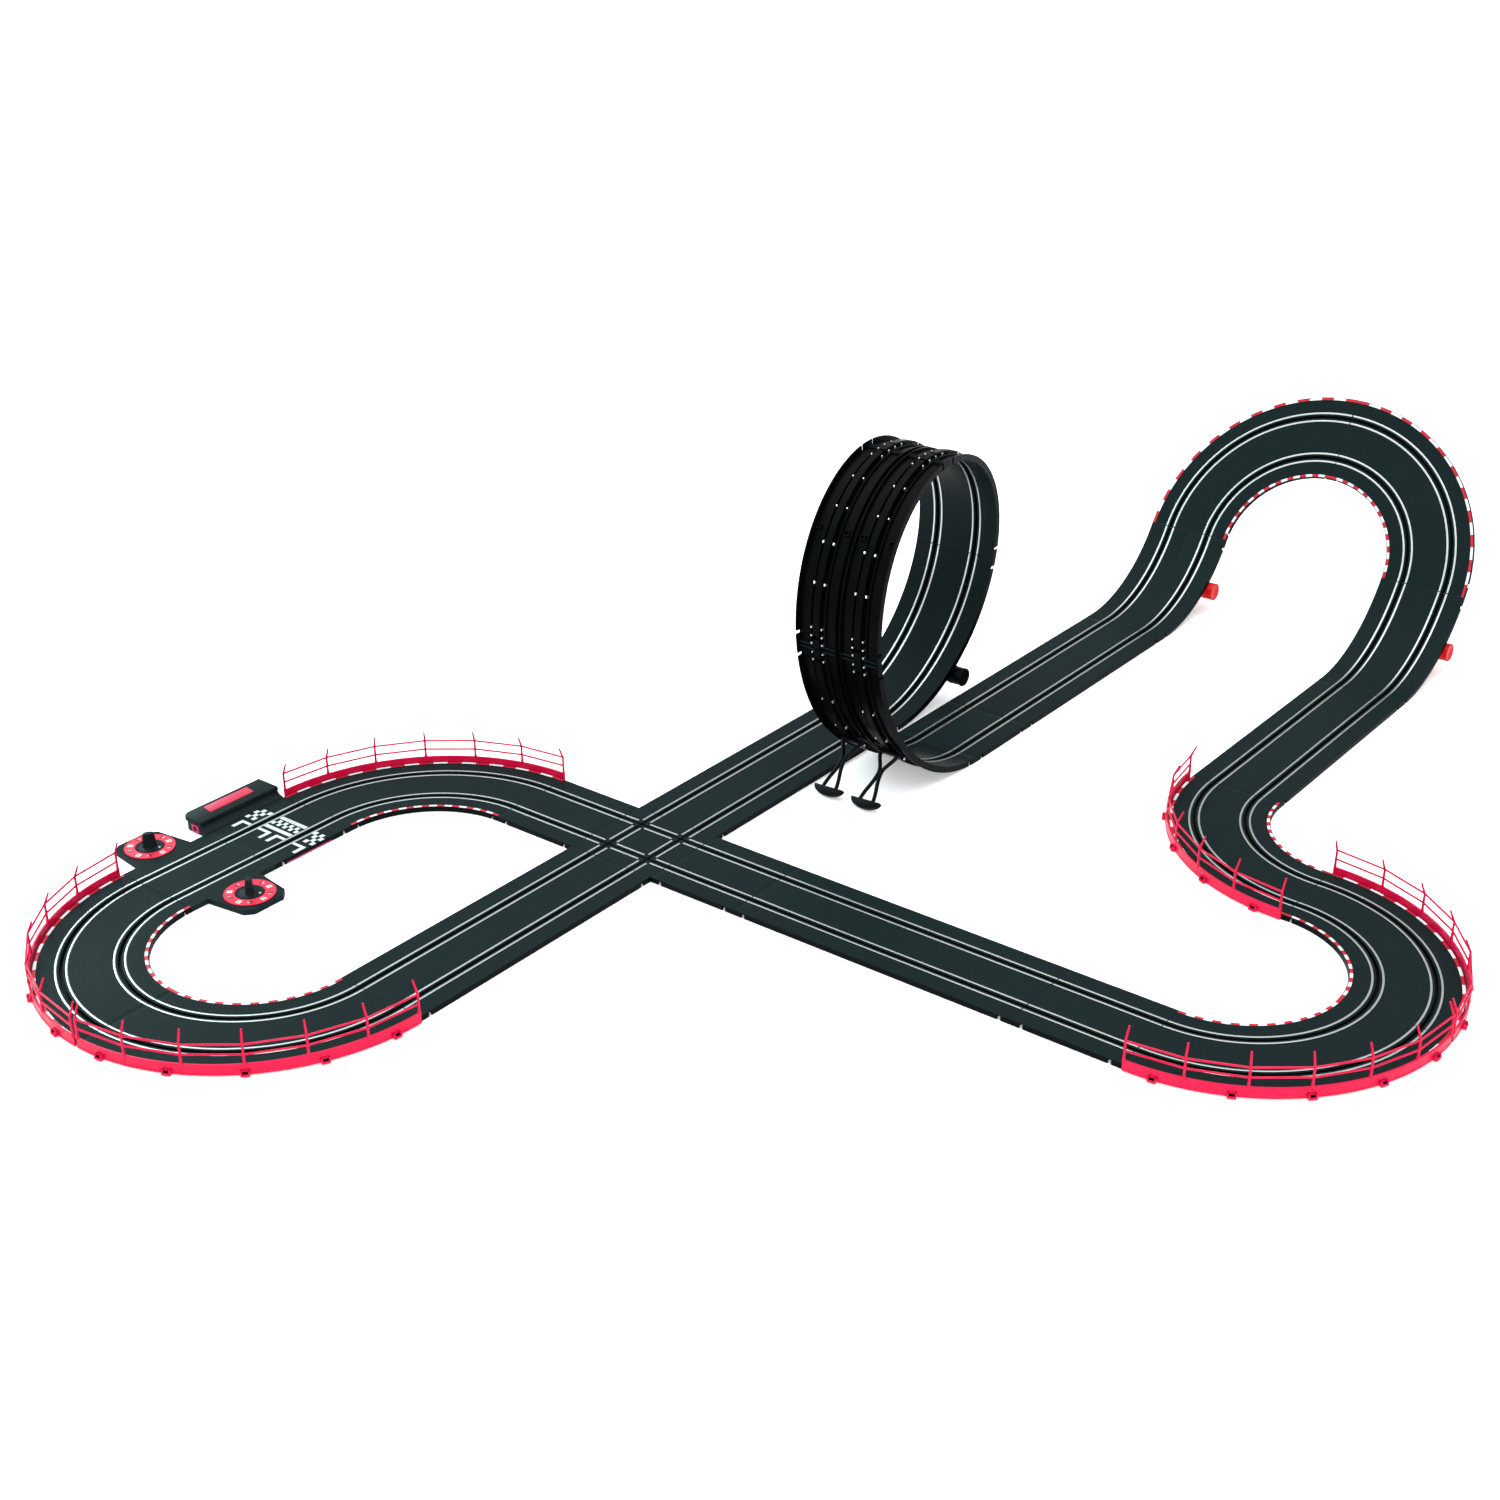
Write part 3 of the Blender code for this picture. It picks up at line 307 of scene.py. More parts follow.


# Each deck's second colour is painted shade for the faces off its running surface
DECK_BLACK = track_plastic("deck_black", (0.0054, 0.0116, 0.0124), (0.0010, 0.0022, 0.0026), 0.48, 0.03)
LOOP_BLACK = track_plastic("loop_black", (0.0042, 0.0088, 0.0096), (0.0004, 0.0010, 0.0013), 0.30, 0.03)
BOX_BLACK = moulded("box_black", (0.0055, 0.0105, 0.0115), 0.44, 0.06, wear=0.10)
GLOSS_BLACK = moulded("gloss_black", (0.0008, 0.0014, 0.0017), 0.32, 0.05, 900.0, 0.12, 0.08)
RAIL_RED = moulded("rail_red", (0.56, 0.0035, 0.048), 0.34, 0.15, 700.0, 0.10, 0.04)
CLAMP_RED = moulded("clamp_red", (0.52, 0.0030, 0.0035), 0.36, 0.20, 800.0, 0.12, 0.06)
JACK_RED = moulded("jack_red", (0.34, 0.012, 0.080), 0.38, 0.25, 900.0, 0.15)
LABEL_RED = printed("label_red", (0.44, 0.022, 0.060), 0.40)
DIAL_RED = moulded("dial_red", (0.56, 0.016, 0.050), 0.32, 0.20, 900.0, 0.08, 0.05)
STEEL = strip_metal("conductor_steel", (0.45, 0.49, 0.49), (0.55, 0.58, 0.58))
# A much brighter copy of the conductor steel: painted glints on the strip tabs under the loop
GLINT_STEEL = strip_metal("tab_steel_glint", (0.86, 0.88, 0.88), (0.96, 0.97, 0.97))
INK_WHITE = printed("print_white", (0.50, 0.55, 0.55))
KERB_WHITE = printed("kerb_white", (0.66, 0.68, 0.70), 0.42)
KERB_RED = printed("kerb_red", (0.42, 0.010, 0.026), 0.42)
DIAL_DARK = printed("dial_dark", (0.10, 0.004, 0.010), 0.4)


# ---------------------------------------------------------------- mesh helpers

def piece(name, work, surface, slot, body="track", replaces=(), smooth=30):
    """Turn a bmesh into a finished piece, its faces pointing out, that rides on a body."""
    bmesh.ops.remove_doubles(work, verts=work.verts, dist=0.0000004)
    bmesh.ops.recalc_face_normals(work, faces=work.faces)
    mesh = bpy.data.meshes.new(name)
    work.to_mesh(mesh)
    work.free()
    mesh.materials.append(surface)
    if smooth:
        mesh.shade_smooth()
        mesh.set_sharp_from_angle(angle=math.radians(smooth))
    obj = bpy.data.objects.new(name, mesh)
    bpy.context.scene.collection.objects.link(obj)
    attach(obj, body)
    if replaces:
        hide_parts(*replaces)


def loft(work, rings, uvs=None, closed=True, caps=True):
    """Skin a row of equal rings of points."""
    layer = work.loops.layers.uv.verify()
    rows = [[work.verts.new(point) for point in ring] for ring in rings]
    count = len(rings[0])
    last = count if closed else count - 1
    for i in range(len(rows) - 1):
        for j in range(last):
            k = (j + 1) % count
            face = work.faces.new((rows[i][j], rows[i][k], rows[i + 1][k], rows[i + 1][j]))
            if uvs:
                for loop, (a, b) in zip(face.loops, ((i, j), (i, k), (i + 1, k), (i + 1, j))):
                    loop[layer].uv = uvs[a][b]
    if caps:
        for i in (0, len(rows) - 1):
            face = work.faces.new(rows[i])
            if uvs:
                for loop, j in zip(face.loops, range(count)):
                    loop[layer].uv = uvs[i][j]


def box_into(work, low, high, place=None, bevel=0.0):
    """A box between two corners, moved by a matrix or a function, with its edges bevelled."""
    made = bmesh.new()
    size = [b - a for a, b in zip(low, high)]
    middle = [(a + b) / 2 for a, b in zip(low, high)]
    bmesh.ops.create_cube(made, size=1.0, matrix=Matrix.Translation(middle) @ Matrix.Diagonal((*size, 1.0)))
    if bevel:
        bmesh.ops.bevel(made, geom=made.edges, offset=bevel, segments=2, profile=0.5, affect="EDGES")
    if place:
        for vert in made.verts:
            vert.co = place @ vert.co if isinstance(place, Matrix) else place(*vert.co)
    append(work, made)


def append(work, made):
    """Move a bmesh's faces into another."""
    holder = bpy.data.meshes.new("holder")
    made.to_mesh(holder)
    made.free()
    work.from_mesh(holder)
    bpy.data.meshes.remove(holder)


def lathe(work, profile, place=None, steps=40):
    """A closed or pole-to-pole profile of radius and height, turned about Z."""
    rings = []
    for i in range(steps):
        angle = 2 * math.pi * i / steps
        ring = [Vector((r * math.cos(angle), r * math.sin(angle), z)) for r, z in profile]
        rings.append([place @ point for point in ring] if place else ring)
    rings.append(rings[0])
    made = bmesh.new()
    loft(made, rings, closed=profile[0][0] > 0, caps=False)
    bmesh.ops.remove_doubles(made, verts=made.verts, dist=0.000001)
    append(work, made)


def rod(work, points, radii, sides=10):
    """A round rod through points; radii is one number or one for each point."""
    if not isinstance(radii, (list, tuple)):
        radii = [radii] * len(points)
    points = [Vector(point) for point in points]
    side = None
    rings = []
    for i, point in enumerate(points):
        ahead = (points[min(i + 1, len(points) - 1)] - points[max(i - 1, 0)]).normalized()
        if side is None:
            side = ahead.orthogonal().normalized()
        side = (side - ahead * side.dot(ahead)).normalized()
        other = ahead.cross(side)
        rings.append([point + radii[i] * (side * math.cos(a) + other * math.sin(a))
                      for a in [2 * math.pi * k / sides for k in range(sides)]])
    made = bmesh.new()
    loft(made, rings)
    append(work, made)


def rounded(points, radius, steps=4):
    """A flat outline with its corners rounded."""
    out = []
    count = len(points)
    for i in range(count):
        here = Vector(points[i])
        before = Vector(points[i - 1]) - here
        after = Vector(points[(i + 1) % count]) - here
        reach = min(radius, before.length * 0.45, after.length * 0.45)
        a = here + before.normalized() * reach
        b = here + after.normalized() * reach
        for k in range(steps + 1):
            t = k / steps
            out.append(a * (1 - t) ** 2 + here * 2 * t * (1 - t) + b * t * t)
    return out


def flatter(value, power):
    """A sine or cosine raised to a power, with its sign kept: rounds off a rectangle."""
    return math.copysign(abs(value) ** power, value)


def inset(points, distance):
    """An outline drawn inwards by a distance; the outline runs anticlockwise."""
    out = []
    count = len(points)
    for i in range(count):
        before = (points[i] - points[i - 1]).normalized()
        after = (points[(i + 1) % count] - points[i]).normalized()
        normal = Vector((-(before.y + after.y), before.x + after.x)).normalized()
        out.append(points[i] + normal * distance)
    return out


# ---------------------------------------------------------------- paths of the track pieces

class Path:
    """A track piece's centre-line: its length, and the place of any point on it."""

    def __init__(self, name, length, steps, place, kind):
        self.name, self.length, self.steps, self.place, self.kind = name, length, steps, place, kind


ALONG_Y = ("south_straight", "north_third_straight", "south_third_straight", "adapter_straight")
STRAIGHTS = ("west_straight", "east_straight", "far_straight", "return_straight", "loop_lead_in_straight",
             "connecting_track", *ALONG_Y)
CURVES = {"top_curve": 0, "hairpin_curve_upper": 1, "hairpin_curve_lower": 2, "right_curve_lower": 2,
          "right_curve_upper": 3, "s_curve": 1}


def straight_path(name):
    low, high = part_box(name)
    centre = (low + high) / 2
    along = Vector((0, 1, 0)) if name in ALONG_Y else Vector((1, 0, 0))
    across = Vector((-along.y, along.x, 0))
    length = (high - low).dot(along)

    def place(s, u, v):
        point = centre + along * (s - length / 2) + across * u
        point.z = high.z + v
        return point

    return Path(name, length, 12 if length > 0.2 else 4, place, "straight")


def arc_point(centre, angle, radius, v):
    return Vector((centre.x + radius * math.cos(angle), centre.y + radius * math.sin(angle), centre.z + v))


def curve_centre(name, quarters):
    """The corner of the CAD node's box that its arc turns about."""
    low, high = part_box(name)
    x = (low.x - GAP / 2, high.x + GAP / 2)[quarters in (1, 2)]
    y = (low.y - GAP / 2, high.y + GAP / 2)[quarters in (2, 3)]
    return Vector((x, y, high.z))


def curve_path(name, quarters):
    centre = curve_centre(name, quarters)
    turn = quarters * math.pi / 2
    length = CURVE_RADIUS * math.pi / 2 - GAP

    def place(s, u, v):
        return arc_point(centre, turn + (GAP / 2 + s) / CURVE_RADIUS, CURVE_RADIUS - u, v)

    return Path(name, length, 30, place, "curve")


def loop_side(turn):
    soft = turn * turn * (3 - 2 * turn)
    return LOOP_SHIFT * ((1 - LOOP_SOFTNESS) * turn + LOOP_SOFTNESS * soft)


def loop_point(angle, u, v):
    """A point on the loop; v is measured from its running surface."""
    radius = LOOP_RADIUS - v
    x = LOOP_X + LOOP_LEAN * math.sin(angle / 2) ** 2 - radius * math.sin(angle)
    y = loop_side(angle / (2 * math.pi)) - LOOP_SHIFT - u
    return Vector((x, y, DECK + LOOP_RADIUS - radius * math.cos(angle)))


def loop_path(name, index):
    length = LOOP_RADIUS * math.pi / 2 - GAP

    def place(s, u, v):
        angle = index * math.pi / 2 + (GAP / 2 + s) / LOOP_RADIUS
        if v < -PLATE:
            share = min(1.0, min(angle, 2 * math.pi - angle) / LOOP_TAPER)
            v += LOOP_DEEPER * share * (v + PLATE) / (DECK - PLATE)
        return loop_point(angle, u, v)

    return Path(name, length, 34, place, "loop")


def ramp_point(along, rise):
    arc_end = RAMP_FLAT + RAMP_RADIUS * BANK_ANGLE
    angle = min(max(along - RAMP_FLAT, 0.0) / RAMP_RADIUS, BANK_ANGLE)
    x = min(along, RAMP_FLAT) + RAMP_RADIUS * math.sin(angle)
    z = RAMP_RADIUS * (1 - math.cos(angle))
    rest = max(along - arc_end, 0.0)
    x += rest * math.cos(BANK_ANGLE)
    z += rest * math.sin(BANK_ANGLE)
    return x - rise * math.sin(angle), z + rise * math.cos(angle)


def ramp_path(name):
    low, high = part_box(name)
    middle = (low.y + high.y) / 2
    start = low.x - GAP / 2

    def place(s, u, v):
        x, z = ramp_point(s + GAP / 2, v)
        return Vector((start + x, middle + u, DECK + z))

    return Path(name, RAMP_LENGTH - GAP, 26, place, "ramp")


def bank_path(name, quarters):
    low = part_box("bank_ramp_south")[0]
    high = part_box("bank_ramp_north")[1]
    x, z = ramp_point(RAMP_LENGTH, 0.0)
    tilt = Matrix.Translation((low.x - GAP / 2 + x, (low.y + high.y) / 2, DECK + z))
    tilt = tilt @ Matrix.Rotation(-BANK_ANGLE, 4, "Y")
    turn = quarters * math.pi / 2
    length = CURVE_RADIUS * math.pi / 2 - GAP

    def place(s, u, v):
        return tilt @ arc_point(Vector(), turn + (GAP / 2 + s) / CURVE_RADIUS, CURVE_RADIUS - u, v)

    return Path(name, length, 30, place, "bank")


def flat_path(name, kind, steps, across=False):
    """A level path over a CAD node that keeps its own shape, along X or across it."""
    low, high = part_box(name)
    centre, length = (low + high) / 2, high.x - low.x

    def place(s, u, v):
        x, y = (-u, s - length / 2) if across else (s - length / 2, u)
        return Vector((centre.x + x, centre.y + y, DECK + v))

    return Path(name, length, steps, place, kind)


def swept(path, places, section):
    """Rings of a section at places along a path."""
    return [[path.place(s, u, v) for u, v in section] for s in places]


PATHS = [straight_path(name) for name in STRAIGHTS]
PATHS += [curve_path(name, quarters) for name, quarters in CURVES.items()]
PATHS += [loop_path(name, i) for i, name in enumerate(("loop_entry", "loop_rise", "loop_fall", "loop_exit"))]
PATHS += [ramp_path(name) for name in ("bank_ramp_south", "bank_ramp_north")]
PATHS += [bank_path(name, quarters) for name, quarters in (("bank_curve_south", 3), ("bank_curve_north", 0))]
PATH = {path.name: path for path in PATHS}


# ---------------------------------------------------------------- decks

def groove(centre, half, depth, start=0.0):
    """Corners of a square groove, from its left top edge to its right one."""
    left, right = centre - half, centre + half
    return [(left, -start), (left, -depth), (right, -depth), (right, -start)]


def deck_section(kind):
    """Outline of a deck across its lanes, clockwise from the left top edge; ramps have a fold line."""
    wall, deep = (0.0045, DECK) if kind == "loop" else (0.0030, 0.0054)
    points = [(-HALF, -EDGE), (EDGE - HALF, 0)]
    for lane in (-LANE, LANE):
        if kind == "ramp" and lane > 0:
            points += [(-0.0007, 0), (0.0, -0.00025), (0.0007, 0)]
        points += groove(lane - STRIP_OFFSET, SEAT_HALF, SEAT_DEPTH)
        lip = SLOT_HALF + SLOT_LIP
        points += [(lane - lip, 0), *groove(lane, SLOT_HALF, SLOT_DEPTH, 0.0005), (lane + lip, 0)]
        points += groove(lane + STRIP_OFFSET, SEAT_HALF, SEAT_DEPTH)
    points += [(HALF - EDGE, 0), (HALF, -EDGE), (HALF, -DECK), (HALF - SKIRT, -DECK), (HALF - SKIRT, -PLATE)]
    for lane in (LANE, -LANE):
        half = [(wall + 0.0005, -PLATE), (wall, -PLATE - 0.0005),
                (wall, 0.0004 - deep), (wall - 0.0004, -deep)]
        points += [(lane + u, v) for u, v in half] + [(lane - u, v) for u, v in reversed(half)]
        if lane > 0:
            for near, far in ((0.0042, 0.0028), (-0.0028, -0.0042)):
                points += [(near, -PLATE), (near, -0.0044), (far, -0.0044), (far, -PLATE)]
    points += [(SKIRT - HALF, -PLATE), (SKIRT - HALF, -DECK), (-HALF, -DECK)]
    return points


def stations(path):
    """Places along a piece where its section is set, with what is changed there."""
    cuts = [NOTCH_AT, path.length - NOTCH_AT]
    steps = [path.length * i / path.steps for i in range(1, path.steps)]
    marks = [(s, "") for s in steps if all(abs(s - cut) > NOTCH_HALF + END_STEP for cut in cuts)]
    for cut in cuts:
        first, last = cut - NOTCH_HALF, cut + NOTCH_HALF
        marks += [(first, ""), (first, "notch"), (last, "notch"), (last, "")]
    marks.sort(key=lambda mark: mark[0])
    return [(0.0, "end"), (END_STEP, ""), *marks, (path.length - END_STEP, ""), (path.length, "end")]


def add_deck(path, surface, slot):
    """The moulded deck of one piece: slots, strip seats, skirts with clip notches, ribs below."""
    section = deck_section(path.kind)
    rings, uvs = [], []
    for s, what in stations(path):
        ring, uv = [], []
        for u, v in section:
            # Faces below the running surface are marked here for the material's painted shade
            uv.append((s + (SHADE_UV_SHIFT if v < -0.0003 else 0.0), u))
            if what == "notch" and v <= -DECK + 0.00001:
                outer = abs(u) > HALF - 0.00001
                v = -NOTCH_LIP if outer else -NOTCH_TOP
                u -= math.copysign(NOTCH_BITE, u) if outer else 0.0
            if what == "end" and v == 0:
                v = -END_EDGE
            ring.append(path.place(s, u, v))
        rings.append(ring)
        uvs.append(uv)
    work = bmesh.new()
    loft(work, rings, uvs)
    add_underside(work, path)
    piece("deck_" + path.name, work, surface, slot, replaces=(path.name,))


def add_underside(work, path):
    """Cross ribs and clip blocks under the plate; on the loop only one low rib at each end."""
    loop = path.kind == "loop"
    end = -0.0036 if loop else -DECK + 0.0012
    near, far = LANE - 0.005, LANE + 0.005
    spans = [(-HALF + SKIRT, -far), (-near, -0.0046), (0.0046, near), (far, HALF - SKIRT)]

    def block(base, reach, low, high):
        a, b = sorted(abs(base - distance) for distance in reach)
        box_into(work, (a, low, end), (b, high, RIB_TOP), path.place)

    for base in (0.0, path.length):
        for low, high in spans:
            for rib in END_RIBS[:1] if loop else END_RIBS:
                block(base, rib, low, high)
            middle = (low + high) / 2
            for shift in () if loop else (-0.0045, 0.0045):
                block(base, CLIP_BLOCK, middle + shift - 0.0016, middle + shift + 0.0016)


def add_strips(path):
    """Four conductor strips with rounded edges, ending just short of the joints."""
    work = bmesh.new()
    right = [(STRIP_HALF - 0.0003, STRIP_PROUD), (STRIP_HALF, STRIP_PROUD - 0.00012), (STRIP_HALF, -0.0003)]
    section = [(-u, v) for u, v in reversed(right)] + right
    for lane in (-LANE, LANE):
        for side in (-1, 1):
            centre = lane + side * STRIP_OFFSET
            for start, end in strip_spans(path):
                count = max(2, int(path.steps * (end - start) / path.length) + 1)
                places = [start + (end - start) * i / count for i in range(count + 1)]
                uvs = [[(s, centre + u) for u, v in section] for s in places]
                loft(work, swept(path, places, [(centre + u, v) for u, v in section]), uvs)
    piece("strips_" + path.name, work, STEEL, "conductor_steel")


def strip_spans(path):
    """Where a strip runs: all along a piece, but not over another lane's slot."""
    if path.kind != "crossing":
        return [(END_STEP, path.length - END_STEP)]
    before, after = path.length / 2 - LANE, path.length / 2 + LANE
    return [(END_STEP, before - CROSS_CLEAR), (before + CROSS_CLEAR, after - CROSS_CLEAR),
            (after + CROSS_CLEAR, path.length - END_STEP)]


def add_track():
    """Every deck and its strips; the crossing and the counter piece keep their CAD shape."""
    for path in PATHS:
        if path.kind == "loop":
            add_deck(path, LOOP_BLACK, "gloss_black")
        else:
            add_deck(path, DECK_BLACK, "deck_black")
        add_strips(path)
    for name, across in (("x", False), ("y", True)):
        path = flat_path("crossing", "crossing", 6, across)
        path.name = "crossing_" + name
        add_strips(path)
    add_strips(flat_path("lap_counter_track", "straight", 4))


def dress_node(name, surface, width):
    """Give a CAD node that stays its material, and soften its edges."""
    node = frame["nodes"][name]
    node.data.materials.clear()
    node.data.materials.append(surface)
    bevel = node.modifiers.new("soft_edges", "BEVEL")
    bevel.width = width
    bevel.segments = 2
    bevel.limit_method = "ANGLE"
    bevel.angle_limit = math.radians(40)
    bevel.harden_normals = False


# ---------------------------------------------------------------- kerbs and printed marks

def add_kerbs(path):
    """Red and white blocks on the top edges of a curve; both ends are red."""
    step = path.length / KERB_BLOCKS
    kinds = (("red", 0, KERB_RED, "kerb_red"), ("white", 1, KERB_WHITE, "print_white"))
    for colour, first, surface, slot in kinds:
        work = bmesh.new()
        for side in (-1, 1):
            near, far = sorted((side * (HALF - KERB_INSET), side * (HALF - KERB_INSET - KERB_WIDTH)))
            section = [(near, -0.0002), (near, 0.00012), (near + 0.0001, 0.0002), (far - 0.0001, 0.0002),
                       (far, 0.00012), (far, -0.0002)]
            for block in range(first, KERB_BLOCKS, 2):
                loft(work, swept(path, [step * (block + k / 3) for k in range(4)], section))
        piece("kerb_%s_%s" % (colour, path.name), work, surface, slot)


def mark(work, x0, x1, u0, u1, place):
    """One thin printed rectangle; x and u in millimetres from the piece's start and middle."""
    box_into(work, (x0 / 1000, u0 / 1000, -0.00005), (x1 / 1000, u1 / 1000, 0.00008), place)


def add_start_marks():
    """Grid corners beside both lanes, and a chequered line across the deck."""
    path = PATH["connecting_track"]
    work = bmesh.new()
    corners = ((46.3, 51.0, 35.6), (2.1, 6.3, 21.4), (-10.6, -5.8, -21.4), (-54.6, -49.8, -35.6))
    for low, high, reach in corners:
        mark(work, 30.2, 47.0, low, high, path.place)
        near, far = (reach, low) if reach < low else (high, reach)
        mark(work, 43.0, 47.0, near, far, path.place)
    for column, row in ((0, 0), (2, 0), (1, 1), (3, 1), (0, 2), (2, 2), (3, 3)):
        for side in (-1, 1):
            low, high = sorted((side * (56.2 - 5.2 * row), side * (51.0 - 5.2 * row)))
            mark(work, 53.9 + 6.2 * column, 60.1 + 6.2 * column, low, high, path.place)
    for row in range(9):
        u = 16.6 - 4.7 * row
        column = 67.1 if row % 2 else 61.5
        mark(work, column, column + 5.6, u, u + 4.7, path.place)
        mark(work, 74.6, 80.2, u + 0.3, u + 4.3, path.place)
    mark(work, 52.2, 57.6, -21.0, 21.2, path.place)
    piece("start_marks", work, INK_WHITE, "print_white")
    work = bmesh.new()
    low, high = (0.017, -HALF - 0.0003, -DECK + 0.0002), (0.082, -HALF + 0.0006, -DECK + 0.0018)
    box_into(work, low, high, path.place, 0.0002)
    piece("lead_clip", work, JACK_RED, "jack_red")


# ---------------------------------------------------------------- guard rails

def add_guard_rail(name, quarters):
    """Flanged wall, posts with bent tips, two wires, and hooked clip feet."""
    curve = name.replace("guard_rail", "curve")
    centre = curve_centre(curve, quarters)
    middle = quarters * math.pi / 2 + math.pi / 4
    out, inn = RAIL_IN + RAIL_THICK, RAIL_IN

    def at(angle, radius, v):
        return arc_point(centre, middle + angle, radius, v)

    posts = [(k - 3) * POST_PITCH for k in range(7)]
    work = bmesh.new()
    wall = [(inn + 0.0003, -0.0052), (inn, -0.0049), (inn, 0.0066), (inn + 0.0003, 0.0070),
            (out - 0.0001, 0.0070), (out + 0.0002, 0.0067), (out + 0.0002, 0.0060), (out - 0.0001, 0.0056),
            (out - 0.0001, -0.0026), (out + 0.0003, -0.0032), (out + 0.0003, -0.0048), (out, -0.0052)]
    half = RAIL_SPAN / 2
    stops = [-half + RAIL_SPAN * i / 36 for i in range(37)]
    stops += [angle + side for angle in posts[1:-1] for side in (-SEAM_HALF, 0.0, SEAM_HALF)]
    rings = []
    for angle in sorted(stops):
        ring = []
        for r, v in wall:
            in_seam = angle in posts and r > out - 0.0005 and -0.005 < v < 0.0068
            ring.append(at(angle, r - SEAM_DEPTH if in_seam else r, v))
        rings.append(ring)
    loft(work, rings)
    line = inn + RAIL_THICK / 2
    for angle in posts:
        post = [at(angle, line, v) for v in (0.0040, 0.0072, WIRES[0], POST_BEND)]
        post.append(at(angle, line - POST_LEAN, POST_TOP))
        rod(work, post, [POST_RADIUS * k for k in (1.2, 1.15, 1.0, 1.0, 0.75)], 10)
        lathe(work, ((0, 0.0086), (0.0016, 0.0084), (0.0019, 0.0078), (0.0019, 0.0068), (0, 0.0068)),
              Matrix.Translation(at(angle, line, 0.0)), 14)
    for height in WIRES:
        rod(work, [at(angle, line, height) for angle in posts], WIRE_RADIUS, 8)
    turns = [middle + (k - 2) * CLIP_PITCH for k in range(5)]
    turns = [Matrix.Translation(centre) @ Matrix.Rotation(angle, 4, "Z") for angle in turns]
    low, high = -0.0052, 0.0002
    for turn in turns:
        for y0, y1 in ((-0.0044, -0.0029), (0.0029, 0.0044)):
            box_into(work, (out - 0.0006, y0, low), (out + 0.0038, y1, high), turn, 0.0003)
        box_into(work, (out + 0.0030, -0.0044, low), (out + 0.0043, 0.0044, low + 0.0024), turn, 0.0003)
        box_into(work, (out - 0.0006, -0.0044, low), (out + 0.0038, 0.0044, low + 0.0008), turn, 0.0002)
        box_into(work, (out - 0.0006, -0.0044, high - 0.0010), (out + 0.0016, 0.0044, high), turn, 0.0002)
    piece("rail_" + name, work, RAIL_RED, "rail_red", replaces=(name,))
    work = bmesh.new()
    for turn in turns:
        box_into(work, (out - 0.0004, -0.0028, -0.0044), (out + 0.0022, 0.0028, -0.0010), turn, 0.0003)
    piece("tabs_" + name, work, GLOSS_BLACK, "box_black")


# ---------------------------------------------------------------- lap counters

DIAL_IN = 0.0158
DIAL_OUT = 0.0278
DIAL_PLACES = 10
KNOB_TURN = {"outer": math.radians(55), "inner": math.radians(-37)}


def hinge(name):
    """Where a joint of the record turns."""
    return Vector(next(joint["pos_m"] for joint in frame["joints"] if joint["name"] == name))


def digit_mesh(text, height):
    """A digit as a flat mesh, centred on its own origin."""
    curve = bpy.data.curves.new("digit", "FONT")
    curve.body = text
    curve.size = height
    curve.align_x = "CENTER"
    curve.align_y = "CENTER"
    curve.extrude = 0.00008
    curve.resolution_u = 2
    holder = bpy.data.objects.new("digit", curve)
    bpy.context.scene.collection.objects.link(holder)
    bpy.context.view_layer.update()
    mesh = bpy.data.meshes.new_from_object(holder.evaluated_get(bpy.context.evaluated_depsgraph_get()))
    bpy.data.objects.remove(holder)
    bpy.data.curves.remove(curve)
    return mesh


